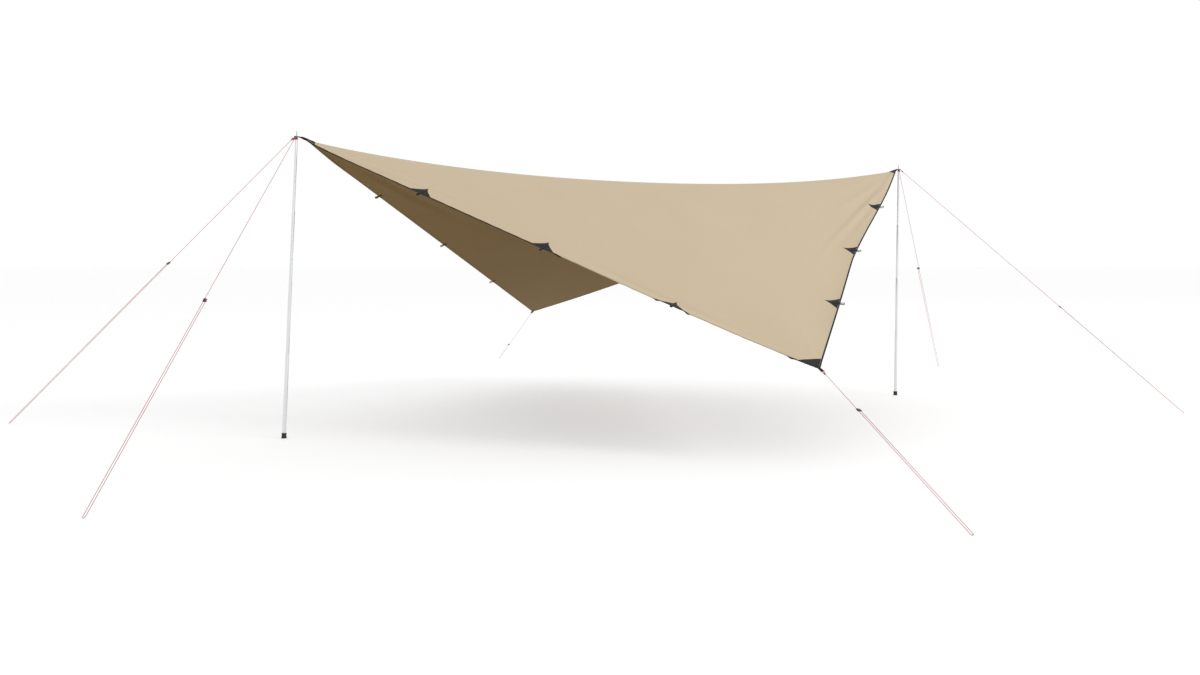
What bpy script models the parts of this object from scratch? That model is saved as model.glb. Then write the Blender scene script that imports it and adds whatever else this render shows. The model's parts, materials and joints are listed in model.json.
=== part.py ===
# Square camping tarp, pitched as a saddle: two opposite corners stand high on telescopic poles,
# the other two are guyed low. Metres, +Z up, ground at z = 0, +X along the ridge from the left
# pole to the right one, +Y towards the back corner.

import math

import bmesh
import bpy
from mathutils import Matrix, Vector

# Middle of the line between the pole tips. It puts the frame's origin under the middle of the
# cloth and the poles.
RIDGE_X = 0.0439
RIDGE_Y = -0.0308

# Poles: where the straps sit on the tips, and where the feet stand
PIN_PLACES = {"left": (-2.789, 0.0, 2.163), "right": (2.789, 0.0, 2.158)}
FOOT_PLACES = {"left": (-2.875, 0.013, 0.0), "right": (2.762, 0.015, 0.0)}
TUBE_NAMES = ("lower_tube", "second_tube", "third_tube", "top_tube")
TUBE_DIAMETERS = (0.028, 0.025, 0.022, 0.019)
TUBE_LENGTH = 0.600
TUBE_WALL = 0.0012
TUBE_CHAMFER = 0.0005
EXPANDER_BODY = 0.032
EXPANDER_STEM = 0.025
EXPANDER_GROOVE = 0.0025
CAP_FLOOR = 0.006
CAP_HEIGHT = 0.036
CAP_WALL = 0.0022
CAP_FLARE = 0.0189
CAP_SINK = 0.0015
PLUG_STEM = 0.030
PLUG_SHOULDER = 0.008
PLUG_RADIUS = 0.0105
SPIKE_RADIUS = 0.004
SPIKE_SOCKET = 0.0145
SPIKE_ABOVE_STRAP = 0.040
TURNING_STEPS = 28

# Cloth: low corners, height of the ridge over the plain twisted surface, the bow of the edges,
# and how far the straps pull the high corners up, over which part of the cloth
FRONT_CORNER = (0.012, -2.392, 0.590)
BACK_CORNER = (0.008, 2.464, 0.753)
CLOTH_SIDE = 4.0
CLOTH_THICKNESS = 0.0008
RIDGE_LIFT = 3.014
RIDGE_SOFTNESS = 0.12
FRONT_BOW = 0.082
FRONT_DROP = 0.025
BACK_BOW = 0.126
BACK_DROP = 0.084
CORNER_PULL = {"left": 0.018, "right": 0.008, "front": 0.010}
PULL_SPAN = 0.030
# Steeper fall of the front flap at the left corner: its depth, and how fast it comes and goes
FLAP_DROP = 0.020
FLAP_START = 0.010
FLAP_SPAN = 0.060
# Outward swells of the front right hem: how far, where each starts and ends, and its skew
HEM_SWELLS = ((0.017, 0.03, 0.47, 1.0), (0.033, 0.45, 1.0, 1.5))
# Hollow that runs beside the front hems: its depth, and how far from the hem it is deepest
HOLLOW_DEPTH = 0.025
HOLLOW_PLACE = 0.22
HOLLOW_RIGHT = (0.05, 0.20, 0.85, 0.95)
HOLLOW_LEFT = (0.45, 0.72, 0.85, 0.95)
CELLS = 20

# Sewn pieces
GAP = 0.0004
BINDING_WIDTH = 0.009
BINDING_THICKNESS = 0.0011
BINDING_GAP = 0.0006
BINDING_END = 0.030
BINDING_FOLDS = (1.035, 1.08)
PATCH_THICKNESS = 0.0012
PATCH_LIFT = 0.0024
PATCH_INSET = 0.0145
CORNER_PATCH = {"left": 0.085, "right": 0.120, "front": 0.150, "back": 0.150}
TAB_SPOTS = {
    "front_left": (0.241, 0.488, 0.737),
    "front_right": (0.258, 0.510, 0.759),
    "back_right": (0.280, 0.530, 0.780),
    "back_left": (0.215, 0.460, 0.709),
}
TAB_PATCH_BASE = 0.160
TAB_PATCH_HEIGHT = 0.095
TAB_WEBBING = 0.012
TAB_REACH = 0.0345
STRAP_WIDTH = {"left": 0.022, "right": 0.022, "front": 0.016, "back": 0.016}
STRAP_THICKNESS = 0.0016
STRAP_REACH = {"left": 0.052, "right": 0.028, "front": 0.030, "back": 0.026}
STRAP_SEWN = 0.036
STRAP_PAST_PIN = 0.014
STRAP_FLAT = 0.012
STRAP_OVER = 0.0050
STRAP_UNDER = 0.0042
PIN_RISE = 0.003
PIN_LOOP_RADIUS = 0.0023
CORD_LOOP_RADIUS = 0.0045
EYELET_HOLE = 0.0064
EYELET_BARREL = 0.0060
EYELET_BORE = 0.0052
EYELET_FLANGE = 0.0098
EYELET_HALF_HEIGHT = 0.0043

# Guy lines: corner that each one holds, its peg on the ground, its runner's distance up from
# the peg, and its place on the pole tip, counted downwards
GUYS = {
    "left_back": ("left", (-4.716, 1.633), 1.916, 0),
    "left_front": ("left", (-4.103, -1.957), 1.512, 1),
    "front": ("front", (-0.420, -4.055), 1.256, 0),
    "back": ("back", (0.672, 5.331), 1.042, 0),
    "right_back": ("right", (5.121, 1.887), 2.063, 0),
    "right_front": ("right", (4.106, -1.962), 1.284, 1),
}
CORD_DIAMETER = 0.003
LEG_GAP = 0.014
PEG_CLEARANCE = 0.0002
EYE_LENGTH = 0.036
EYE_RADIUS = 0.0062
EYE_STACK = 0.0035
EYE_ROOM = 0.0074
EYE_BEND = 0.0062
TAIL_GAP = 0.0042
RUNNER_TOP = 0.018
RUNNER_BASE = 0.010
RUNNER_MARGIN = 0.0055
RUNNER_THICKNESS = 0.007
RUNNER_HOLE = 0.0021
RUNNER_ROUND = 0.0025
RETURN_END = 0.002

UP = Vector((0.0, 0.0, 1.0))
POLE_SIDES = ("left", "right")


def place(x, y, z):
    return Vector((x + RIDGE_X, y + RIDGE_Y, z))


# Scene and materials


def clear_scene():
    for old in list(bpy.data.objects):
        bpy.data.objects.remove(old, do_unlink=True)


def new_collection(name):
    collection = bpy.data.collections.new(name)
    bpy.context.scene.collection.children.link(collection)
    return collection


def new_material(name, colour, roughness, metallic=0.0):
    made = bpy.data.materials.new(name)
    made.use_nodes = True
    shader = made.node_tree.nodes["Principled BSDF"]
    shader.inputs["Base Color"].default_value = (*colour, 1.0)
    shader.inputs["Roughness"].default_value = roughness
    shader.inputs["Metallic"].default_value = metallic
    return made


clear_scene()
PARTS = new_collection("camping_tarp")
CUTTERS = new_collection("cutters")
CLOTH = new_material("coated_polyester", (0.60, 0.50, 0.36), 0.7)
TAPE = new_material("black_tape", (0.03, 0.03, 0.03), 0.8)
WEBBING = new_material("black_webbing", (0.02, 0.02, 0.02), 0.85)
NICKEL = new_material("nickelled_brass", (0.65, 0.62, 0.58), 0.3, 1.0)
CORD = new_material("red_cord", (0.45, 0.03, 0.04), 0.75)
PLASTIC = new_material("black_plastic", (0.02, 0.02, 0.02), 0.5)
GREY_NYLON = new_material("grey_nylon", (0.25, 0.25, 0.25), 0.5)
ALUMINIUM = new_material("satin_aluminium", (0.72, 0.72, 0.72), 0.3, 1.0)
STEEL = new_material("plated_steel", (0.6, 0.6, 0.6), 0.25, 1.0)


# Objects from meshes


def add_object(name, mesh, material, matrix=None, parent=None):
    made = bpy.data.objects.new(name, mesh)
    PARTS.objects.link(made)
    if not mesh.materials:
        mesh.materials.append(material)
    if parent:
        made.parent = parent
    if matrix:
        made.matrix_world = matrix
    return made


def loft_mesh(name, rows, ring=False):
    """Mesh through rows of points; with ring, each row is a closed outline and the ends are capped."""
    bm = bmesh.new()
    verts = [[bm.verts.new(point) for point in row] for row in rows]
    width = len(rows[0])
    for low, high in zip(verts, verts[1:]):
        for k in range(width if ring else width - 1):
            after = (k + 1) % width
            bm.faces.new((low[k], low[after], high[after], high[k]))
    if ring:
        bm.faces.new(verts[0][::-1])
        bm.faces.new(verts[-1])
    bmesh.ops.recalc_face_normals(bm, faces=bm.faces)
    mesh = bpy.data.meshes.new(name)
    bm.to_mesh(mesh)
    bm.free()
    return mesh


def thicken(made, thickness):
    solid = made.modifiers.new("thickness", "SOLIDIFY")
    solid.thickness = thickness
    solid.offset = 0.0
    solid.use_even_offset = True


def turned(name, profile, material, parent, steps=TURNING_STEPS, closed=False):
    """Solid of revolution about the parent's Z, from (radius, height) points down the outer side."""
    mesh = bpy.data.meshes.new(name)
    points = [(radius, 0.0, height) for radius, height in profile]
    edges = [(i, i + 1) for i in range(len(points) - 1)]
    if closed:
        edges.append((len(points) - 1, 0))
    mesh.from_pydata(points, edges, [])
    made = add_object(name, mesh, material)
    made.parent = parent
    screw = made.modifiers.new("turning", "SCREW")
    screw.steps = steps
    screw.render_steps = steps
    screw.use_merge_vertices = True
    screw.merge_threshold = 0.00002
    screw.use_smooth_shade = True
    return made


def cut(made, cutter):
    cutter.hide_render = True
    cutter.display_type = "WIRE"
    boolean = made.modifiers.new("cut", "BOOLEAN")
    boolean.operation = "DIFFERENCE"
    boolean.object = cutter


def add_cutter(name, mesh, matrix):
    cutter = bpy.data.objects.new(name, mesh)
    CUTTERS.objects.link(cutter)
    cutter.matrix_world = matrix
    return cutter


def cylinder_mesh(name, radius, length, steps=24):
    bm = bmesh.new()
    bmesh.ops.create_cone(
        bm, cap_ends=True, segments=steps, radius1=radius, radius2=radius, depth=length
    )
    mesh = bpy.data.meshes.new(name)
    bm.to_mesh(mesh)
    bm.free()
    return mesh


def frame_matrix(x_axis, y_axis, z_axis, origin):
    columns = (x_axis, y_axis, z_axis, origin)
    rows = [[column[i] for column in columns] for i in range(3)]
    return Matrix(rows + [[0.0, 0.0, 0.0, 1.0]])


# Cloth


def pin_matrix(side):
    """Frame of a pole tip: Z up the pole, X outwards, away from the cloth."""
    pin = place(*PIN_PLACES[side])
    up = (pin - place(*FOOT_PLACES[side])).normalized()
    outward = Vector((-1.0 if side == "left" else 1.0, 0.0, 0.0))
    y_axis = up.cross(outward).normalized()
    return frame_matrix(y_axis.cross(up), y_axis, up, pin)


def pole_corner(side):
    return pin_matrix(side) @ Vector((-STRAP_REACH[side], 0.0, -PIN_RISE))


LEFT, RIGHT = pole_corner("left"), pole_corner("right")
LOW_LEFT, LOW_RIGHT = LEFT - UP * CORNER_PULL["left"], RIGHT - UP * CORNER_PULL["right"]
FRONT, BACK = place(*FRONT_CORNER), place(*BACK_CORNER)
LOW_FRONT = FRONT - UP * CORNER_PULL["front"]
DIAGONAL = math.sqrt(0.5)
FRONT_RIGHT_IN = Vector((-DIAGONAL, DIAGONAL, 0.0))
FRONT_LEFT_BOW = Vector((DIAGONAL * FRONT_BOW, DIAGONAL * FRONT_BOW, -FRONT_DROP))
FRONT_RIGHT_BOW = Vector((-DIAGONAL * FRONT_BOW, DIAGONAL * FRONT_BOW, -FRONT_DROP))
BACK_RIGHT_BOW = Vector((-DIAGONAL * BACK_BOW, -DIAGONAL * BACK_BOW, -BACK_DROP))
BACK_LEFT_BOW = Vector((DIAGONAL * BACK_BOW, -DIAGONAL * BACK_BOW, -BACK_DROP))


def smooth_step(x, start, end):
    t = min(max((x - start) / (end - start), 0.0), 1.0)
    return t * t * (3 - 2 * t)


def hem_hollow(u, v):
    """Depth of the hollow beside the two front hems; it ends at the ridge and before the corners."""
    depth = 0.0
    sides = ((HOLLOW_RIGHT, v, 1 - u, 1 - v), (HOLLOW_LEFT, u, v, u))
    for (start, full, fading, end), run, inwards, ridge in sides:
        share = smooth_step(run, start, full) * (1 - smooth_step(run, fading, end))
        if share > 0 and inwards < ridge:
            near = inwards * CLOTH_SIDE / HOLLOW_PLACE
            depth += HOLLOW_DEPTH * share * near * math.exp(1 - near) * (1 - inwards / ridge) ** 2
    return depth


def cloth_surface(u, v):
    """Middle of the cloth: u = v = 0 is the left corner, u = 1 the front, v = 1 the back one."""
    point = LOW_LEFT * (1 - u) * (1 - v) + LOW_FRONT * u * (1 - v) + LOW_RIGHT * u * v + BACK * (1 - u) * v
    blend = 4 * RIDGE_SOFTNESS * math.sqrt(max(u * (1 - u) * v * (1 - v), 0.0))
    spread = math.hypot(u - v, blend)
    smaller, larger = (u + v - spread) / 2, (u + v + spread) / 2
    point += UP * RIDGE_LIFT * smaller * (1 - larger)
    point += FRONT_LEFT_BOW * 4 * u * (1 - u) * (1 - v) ** 2
    point += FRONT_RIGHT_BOW * 4 * v * (1 - v) * u**2
    point += BACK_RIGHT_BOW * 4 * u * (1 - u) * v**2
    point += BACK_LEFT_BOW * 4 * v * (1 - v) * (1 - u) ** 2
    point += UP * CORNER_PULL["left"] * math.exp(-(u + v) / PULL_SPAN)
    point += UP * CORNER_PULL["right"] * math.exp(-(2 - u - v) / PULL_SPAN)
    point += UP * CORNER_PULL["front"] * math.exp(-(1 - u + v) / PULL_SPAN)
    for width, start, end, skew in HEM_SWELLS:
        share = min(max((v - start) / (end - start), 0.0), 1.0)
        point -= FRONT_RIGHT_IN * width * math.sin(math.pi * share**skew) * u**6
    if u > v:
        steep = (1 - math.exp(-u / FLAP_START)) * math.exp(-u / FLAP_SPAN)
        point -= UP * FLAP_DROP * steep * ((u - v) / (u + v)) ** 2
    return point - UP * hem_hollow(u, v)


def cloth_point(u, v):
    """Point on the faceted cloth, whose cells are split parallel to the ridge."""
    i = min(int(u * CELLS), CELLS - 1)
    j = min(int(v * CELLS), CELLS - 1)
    a, b = u * CELLS - i, v * CELLS - j
    near = cloth_surface(i / CELLS, j / CELLS)
    far = cloth_surface((i + 1) / CELLS, (j + 1) / CELLS)
    if a >= b:
        side = cloth_surface((i + 1) / CELLS, j / CELLS)
        return near + (side - near) * a + (far - side) * b
    side = cloth_surface(i / CELLS, (j + 1) / CELLS)
    return near + (far - side) * a + (side - near) * b


def make_canopy():
    bpy.ops.mesh.primitive_grid_add(x_subdivisions=CELLS, y_subdivisions=CELLS, size=1.0)
    canopy = bpy.context.object
    canopy.name = "canopy"
    for collection in canopy.users_collection:
        collection.objects.unlink(canopy)
    PARTS.objects.link(canopy)
    bm = bmesh.new()
    bm.from_mesh(canopy.data)
    for vert in bm.verts:
        vert.co = cloth_surface(vert.co.x + 0.5, vert.co.y + 0.5)
    bmesh.ops.triangulate(bm, faces=bm.faces, quad_method="FIXED")
    bm.to_mesh(canopy.data)
    bm.free()
    canopy.data.materials.append(CLOTH)
    canopy.data.shade_smooth()
    thicken(canopy, CLOTH_THICKNESS)


# Edges run between neighbouring corners: a point at t along one and s inwards from it
EDGES = {
    "front_left": lambda t, s: (t, s),
    "front_right": lambda t, s: (1 - s, t),
    "back_right": lambda t, s: (t, 1 - s),
    "back_left": lambda t, s: (s, t),
}


def edge_frame(edge, t):
    """Point on an edge with its outward, inward and upward directions."""
    step = BINDING_WIDTH / CLOTH_SIDE
    where = EDGES[edge]
    point = cloth_point(*where(t, 0.0))
    inward = (cloth_point(*where(t, step)) - point).normalized()
    along = cloth_point(*where(t + step, 0.0)) - cloth_point(*where(t - step, 0.0))
    normal = along.cross(inward).normalized()
    if normal.z < 0:
        normal.negate()
    return point, along.normalized(), inward, normal


def make_binding(edge):
    """Tape folded over the hem: a channel round the cloth's edge, open towards the cloth."""
    half = CLOTH_THICKNESS / 2 + BINDING_GAP
    outside = half + BINDING_THICKNESS
    profile = (
        (-BINDING_GAP - BINDING_THICKNESS, outside),
        (BINDING_WIDTH, outside),
        (BINDING_WIDTH, half),
        (-BINDING_GAP, half),
        (-BINDING_GAP, -half),
        (BINDING_WIDTH, -half),
        (BINDING_WIDTH, -outside),
        (-BINDING_GAP - BINDING_THICKNESS, -outside),
    )
    end = BINDING_END / CLOTH_SIDE
    nodes = [i / CELLS for i in range(1, CELLS)] + [fold / CELLS for fold in BINDING_FOLDS]
    from_pole = sorted([end] + nodes + [1 - end])
    stations = from_pole if edge.endswith("left") else [1 - t for t in from_pole]
    rows = []
    for t in stations:
        point, _, inward, normal = edge_frame(edge, t)
        rows.append([point + inward * across + normal * height for across, height in profile])
    mesh = loft_mesh("binding_" + edge, rows, ring=True)
    add_object("binding_" + edge, mesh, TAPE)


# Sewn patches, tabs and straps


def tab_rows():
    """Patch, webbing over the binding, loop and end under the cloth: (outward, height, half width)."""
    half = TAB_WEBBING / 2
    base = -PATCH_INSET - 0.0015
    top, belly = 0.0035, 0.0066
    loop = ((0.003, top), (0.012, 0.0052), (0.022, belly), (0.030, 0.0050))
    rows = [(base - TAB_PATCH_HEIGHT, PATCH_LIFT, 0.0015), (base, PATCH_LIFT, TAB_PATCH_BASE / 2)]
    rows.append((-BINDING_WIDTH - 0.0005, top, half))
    rows += [(out, height, half) for out, height in loop]
    rows.append((TAB_REACH, 0.0, half))
    rows += [(out, -height, half) for out, height in reversed(loop)]
    rows.append((-BINDING_WIDTH, -top, half))
    return rows


def make_edge_tabs():
    rows = [
        [Vector((-half, out, height)), Vector((half, out, height))]
        for out, height, half in tab_rows()
    ]
    mesh = loft_mesh("edge_tab", rows)
    for edge in EDGES:
        for number, t in enumerate(TAB_SPOTS[edge], start=1):
            point, along, inward, normal = edge_frame(edge, t)
            outward = along.cross(normal).normalized()
            if outward.dot(inward) > 0:
                outward.negate()
            matrix = frame_matrix(outward.cross(normal), outward, normal, point)
            tab = add_object(f"edge_tab_{edge}_{number}", mesh, WEBBING, matrix)
            thicken(tab, PATCH_THICKNESS)


# The two parameters at each corner, as steps inwards along its two edges
CORNER_STEPS = {
    "left": lambda a, b: (a, b),
    "front": lambda a, b: (1 - a, b),
    "right": lambda a, b: (1 - a, 1 - b),
    "back": lambda a, b: (a, 1 - b),
}


def make_corner_patch(corner):
    """Triangle over the corner, folded along its middle where the ridge runs into it."""
    where = CORNER_STEPS[corner]
    near = PATCH_INSET / CLOTH_SIDE
    far = CORNER_PATCH[corner] / CLOTH_SIDE
    middle = (near + far) / 2
    spots = ((near, near), (far, near), (middle, middle), (near, far))
    tip, first, fold, second = (cloth_point(*where(a, b)) for a, b in spots)
    sides = [(first - tip).cross(fold - tip), (fold - tip).cross(second - tip)]
    normals = [side.normalized() * (1 if side.z > 0 else -1) for side in sides]
    crest = (normals[0] + normals[1]).normalized()
    tip += crest * PATCH_LIFT
    fold += crest * PATCH_LIFT
    first += normals[0] * PATCH_LIFT
    second += normals[1] * PATCH_LIFT
    bm = bmesh.new()
    tip, first, fold, second = (bm.verts.new(point) for point in (tip, first, fold, second))
    bm.faces.new((tip, first, fold))
    bm.faces.new((tip, fold, second))
    bmesh.ops.recalc_face_normals(bm, faces=bm.faces)
    mesh = bpy.data.meshes.new("corner_patch_" + corner)
    bm.to_mesh(mesh)
    bm.free()
    thicken(add_object("corner_patch_" + corner, mesh, WEBBING), PATCH_THICKNESS)


def strap_frame(corner):
    """Frame at the cloth's corner, X outwards along the strap, Z up from the cloth."""
    if corner in POLE_SIDES:
        pin = pin_matrix(corner)
        axes = [pin.to_3x3().col[i] for i in range(3)]
        return frame_matrix(*axes, pole_corner(corner))
    where = CORNER_STEPS[corner]
    tip = cloth_point(*where(0.0, 0.0))
    outward = (tip - cloth_point(*where(0.02, 0.02))).normalized()
    across = cloth_point(*where(0.02, 0.0)) - cloth_point(*where(0.0, 0.02))
    normal = outward.cross(across).normalized()
    if normal.z < 0:
        normal.negate()
    return frame_matrix(outward, normal.cross(outward), normal, tip)


def corner_slopes(corner):
    """Slope of the cloth along the strap, and its fall on the strap's two sides, in its frame."""
    to_frame = strap_frame(corner).inverted()
    where = CORNER_STEPS[corner]
    step = 0.4 / CELLS
    inside = to_frame @ cloth_point(*where(step, step))
    slope = inside.z / inside.x
    falls = {}
    for edge in (where(step, 0.0), where(0.0, step)):
        spot = to_frame @ cloth_point(*edge)
        falls[spot.y > 0] = (slope * spot.x - spot.z) / abs(spot.y)
    return slope, falls


def strap_flat(corner):
    """Distance from the cloth's corner to where the strap lies flat."""
    if corner in POLE_SIDES:
        return STRAP_REACH[corner] - STRAP_FLAT
    return STRAP_REACH[corner] - CORD_LOOP_RADIUS - STRAP_FLAT


def strap_middle(corner, x):
    """Height of the strap's middle plane: on the cloth's slope, then level at the pole tip."""
    slope, _ = corner_slopes(corner)
    if x <= 0 or corner not in POLE_SIDES:
        return slope * x
    flat = strap_flat(corner)
    t = min(x / flat, 1.0)
    return slope * flat * (t - 2 * t**2 + t**3) + PIN_RISE * t**2 * (3 - 2 * t)


def strap_loop(corner):
    """Centre of the loop at the strap's end and the loop's radius, in the strap's frame."""
    if corner in POLE_SIDES:
        return STRAP_REACH[corner] + STRAP_PAST_PIN, PIN_LOOP_RADIUS
    return STRAP_REACH[corner] - CORD_LOOP_RADIUS, CORD_LOOP_RADIUS


def make_corner_strap(corner):
    """Webbing sewn over and under the corner and folded round to a loop at its outer end."""
    _, falls = corner_slopes(corner)
    centre, radius = strap_loop(corner)
    flat = strap_flat(corner)
    half = STRAP_WIDTH[corner] / 2
    inner = [-STRAP_SEWN, -STRAP_SEWN / 2, 0.0]
    outer = [flat * 0.35, flat * 0.7, flat, centre]
    frame = strap_frame(corner)

    def row(x, height):
        drop = half * (1 - smooth_step(x, 0.0, flat))
        middle = strap_middle(corner, x)
        offsets = ((-half, -falls[False] * drop), (0.0, 0.0), (half, -falls[True] * drop))
        return [frame @ Vector((x, y, middle + height + down)) for y, down in offsets]

    def layer(thick_end):
        sign = 1 if thick_end > 0 else -1
        heights = []
        for x in inner + outer:
            ease = smooth_step(x, 0.0, flat)
            heights.append((x, thick_end * (1 - ease) + sign * radius * ease))
        return heights

    rows = [row(x, height) for x, height in layer(STRAP_OVER)]
    for angle in (60, 30, 0, -30, -60):
        turn = math.radians(angle)
        rows.append(row(centre + radius * math.cos(turn), radius * math.sin(turn)))
    rows += [row(x, height) for x, height in reversed(layer(-STRAP_UNDER))]
    name = "corner_strap_" + corner
    strap = add_object(name, loft_mesh(name, rows), WEBBING)
    thicken(strap, STRAP_THICKNESS)
    if corner in POLE_SIDES:
        mesh = cylinder_mesh("eyelet_hole_" + corner, EYELET_HOLE, 0.03)
        cut(strap, add_cutter("eyelet_hole_" + corner, mesh, pin_matrix(corner)))


def make_eyelet(side, pin):
    """Two-part eyelet through both layers of the strap, for the pole's spike."""
    half = EYELET_HALF_HEIGHT
    under, edge = half - 0.0009, half - 0.0003
    profile = (
        (EYELET_FLANGE, edge),
        (EYELET_FLANGE, under),
        (EYELET_BARREL, under),
        (EYELET_BARREL, -under),
        (EYELET_FLANGE, -under),
        (EYELET_FLANGE, -edge),
        (EYELET_FLANGE - 0.0006, -half),
        (EYELET_BORE, -half),
        (EYELET_BORE, half),
        (EYELET_FLANGE - 0.0006, half),
    )
    turned("eyelet_" + side, profile, NICKEL, pin, steps=20, closed=True)


# Poles


def add_empty(name, matrix):
    empty = bpy.data.objects.new(name, None)
    PARTS.objects.link(empty)
    empty.matrix_world = matrix
    return empty


def pole_heights(side):
    """Bottoms and tops of the four tubes up the pole, and the height where the strap sits."""
    strap = (place(*PIN_PLACES[side]) - place(*FOOT_PLACES[side])).length
    top = strap - EYELET_HALF_HEIGHT - EYE_ROOM - PLUG_SHOULDER
    first_mouth = CAP_FLOOR + GAP + TUBE_LENGTH
    showing = (top - first_mouth) / (len(TUBE_DIAMETERS) - 1)
    tops = [first_mouth + showing * k for k in range(len(TUBE_DIAMETERS))]
    return [mouth - TUBE_LENGTH for mouth in tops], tops, strap


def make_tube(name, diameter, bottom, top, foot):
    outer, inner = diameter / 2, diameter / 2 - TUBE_WALL
    profile = (
        (outer - TUBE_CHAMFER, top),
        (outer, top - TUBE_CHAMFER),
        (outer, bottom),
        (inner, bottom),
        (inner, top),
    )
    turned(name, profile, ALUMINIUM, foot, closed=True)


def make_expander(name, bore, stem, bottom, foot):
    """Lock plug of a telescopic joint: its body grips the wider tube, its stem turns in the thinner."""
    body, stem = bore - GAP, stem - GAP
    groove = body - EXPANDER_GROOVE
    profile = (
        (0.0, bottom + EXPANDER_STEM),
        (stem - 0.001, bottom + EXPANDER_STEM),
        (stem, bottom + EXPANDER_STEM - 0.001),
        (stem, bottom - GAP),
        (body, bottom - GAP),
        (body, bottom - 0.010),
        (groove, bottom - 0.012),
        (groove, bottom - 0.022),
        (body, bottom - 0.024),
        (body, bottom - EXPANDER_BODY),
        (0.0, bottom - EXPANDER_BODY),
    )
    turned(name, profile, GREY_NYLON, foot)


def make_foot_cap(name, foot):
    """Waisted rubber foot that the lower tube stands in, cut level with the ground."""
    bore = TUBE_DIAMETERS[0] / 2 + GAP
    waist = bore + CAP_WALL
    profile = (
        (0.0, CAP_FLOOR),
        (bore, CAP_FLOOR),
        (bore, CAP_HEIGHT),
        (waist + 0.0010, CAP_HEIGHT),
        (waist + 0.0014, CAP_HEIGHT - 0.004),
        (waist, CAP_HEIGHT - 0.012),
        (waist + 0.0002, CAP_HEIGHT - 0.020),
        (CAP_FLARE - 0.0005, 0.006),
        (CAP_FLARE, 0.003),
        (CAP_FLARE, -CAP_SINK),
        (0.0, -CAP_SINK),
    )
    cap = turned(name, profile, PLASTIC, foot)
    bm = bmesh.new()
    bmesh.ops.create_cube(bm, size=0.1)
    ground = bpy.data.meshes.new(name + "_ground")
    bm.to_mesh(ground)
    bm.free()
    stand = foot.matrix_world.translation
    under = Matrix.Translation((stand.x, stand.y, -0.05))
    cut(cap, add_cutter(name + "_ground", ground, under))


def make_tip(side, top, strap, foot):
    """Plastic plug in the top tube and the steel spike that stands in it."""
    stem = TUBE_DIAMETERS[-1] / 2 - TUBE_WALL - GAP
    shoulder = top + PLUG_SHOULDER
    socket = SPIKE_RADIUS + GAP
    floor = top - SPIKE_SOCKET
    plug = (
        (0.0, floor),
        (socket, floor),
        (socket, shoulder),
        (PLUG_RADIUS - 0.0015, shoulder),
        (PLUG_RADIUS, shoulder - 0.0015),
        (PLUG_RADIUS, top + GAP),
        (stem, top + GAP),
        (stem, top - PLUG_STEM),
        (0.0, top - PLUG_STEM),
    )
    turned(side + "_tip_plug", plug, PLASTIC, foot)
    tip = strap + SPIKE_ABOVE_STRAP
    spike = (
        (0.0, tip),
        (SPIKE_RADIUS * 0.6, tip - 0.0008),
        (SPIKE_RADIUS, tip - 0.0035),
        (SPIKE_RADIUS, floor + GAP),
        (0.0, floor + GAP),
    )
    turned(side + "_tip_spike", spike, STEEL, foot, steps=20)


def make_pole(side):
    pin = pin_matrix(side)
    foot_matrix = pin.copy()
    foot_matrix.translation = place(*FOOT_PLACES[side])
    foot = add_empty(side + "_pole_axis", foot_matrix)
    bottoms, tops, strap = pole_heights(side)
    for k, name in enumerate(TUBE_NAMES):
        make_tube(f"{side}_{name}", TUBE_DIAMETERS[k], bottoms[k], tops[k], foot)
    for k in range(1, len(TUBE_NAMES)):
        bore = TUBE_DIAMETERS[k - 1] / 2 - TUBE_WALL
        stem = TUBE_DIAMETERS[k] / 2 - TUBE_WALL
        make_expander(f"{side}_expander_{k}", bore, stem, bottoms[k], foot)
    make_foot_cap(side + "_foot_cap", foot)
    make_tip(side, tops[-1], strap, foot)
    make_eyelet(side, add_empty(side + "_pin_axis", pin))


# Guy lines and runners


def smooth_path(controls, samples):
    """Points of a centripetal Catmull-Rom curve; samples gives how many each stretch gets."""
    ends = [controls[0] * 2 - controls[1]] + controls + [controls[-1] * 2 - controls[-2]]
    points = []
    for k, count in enumerate(samples):
        p0, p1, p2, p3 = ends[k : k + 4]
        t1 = (p1 - p0).length ** 0.5
        t2 = t1 + (p2 - p1).length ** 0.5
        t3 = t2 + (p3 - p2).length ** 0.5
        for step in range(count):
            t = t1 + (t2 - t1) * step / count
            a1 = p0 * ((t1 - t) / t1) + p1 * (t / t1)
            a2 = p1 * ((t2 - t) / (t2 - t1)) + p2 * ((t - t1) / (t2 - t1))
            a3 = p2 * ((t3 - t) / (t3 - t2)) + p3 * ((t - t2) / (t3 - t2))
            b1 = a1 * ((t2 - t) / t2) + a2 * (t / t2)
            b2 = a2 * ((t3 - t) / (t3 - t1)) + a3 * ((t - t1) / (t3 - t1))
            points.append(b1 * ((t2 - t) / (t2 - t1)) + b2 * ((t - t1) / (t2 - t1)))
    return points + [controls[-1]]


def peg_point(guy):
    _, (x, y), _, _ = GUYS[guy]
    return place(x, y, CORD_DIAMETER / 2 + PEG_CLEARANCE)


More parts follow.
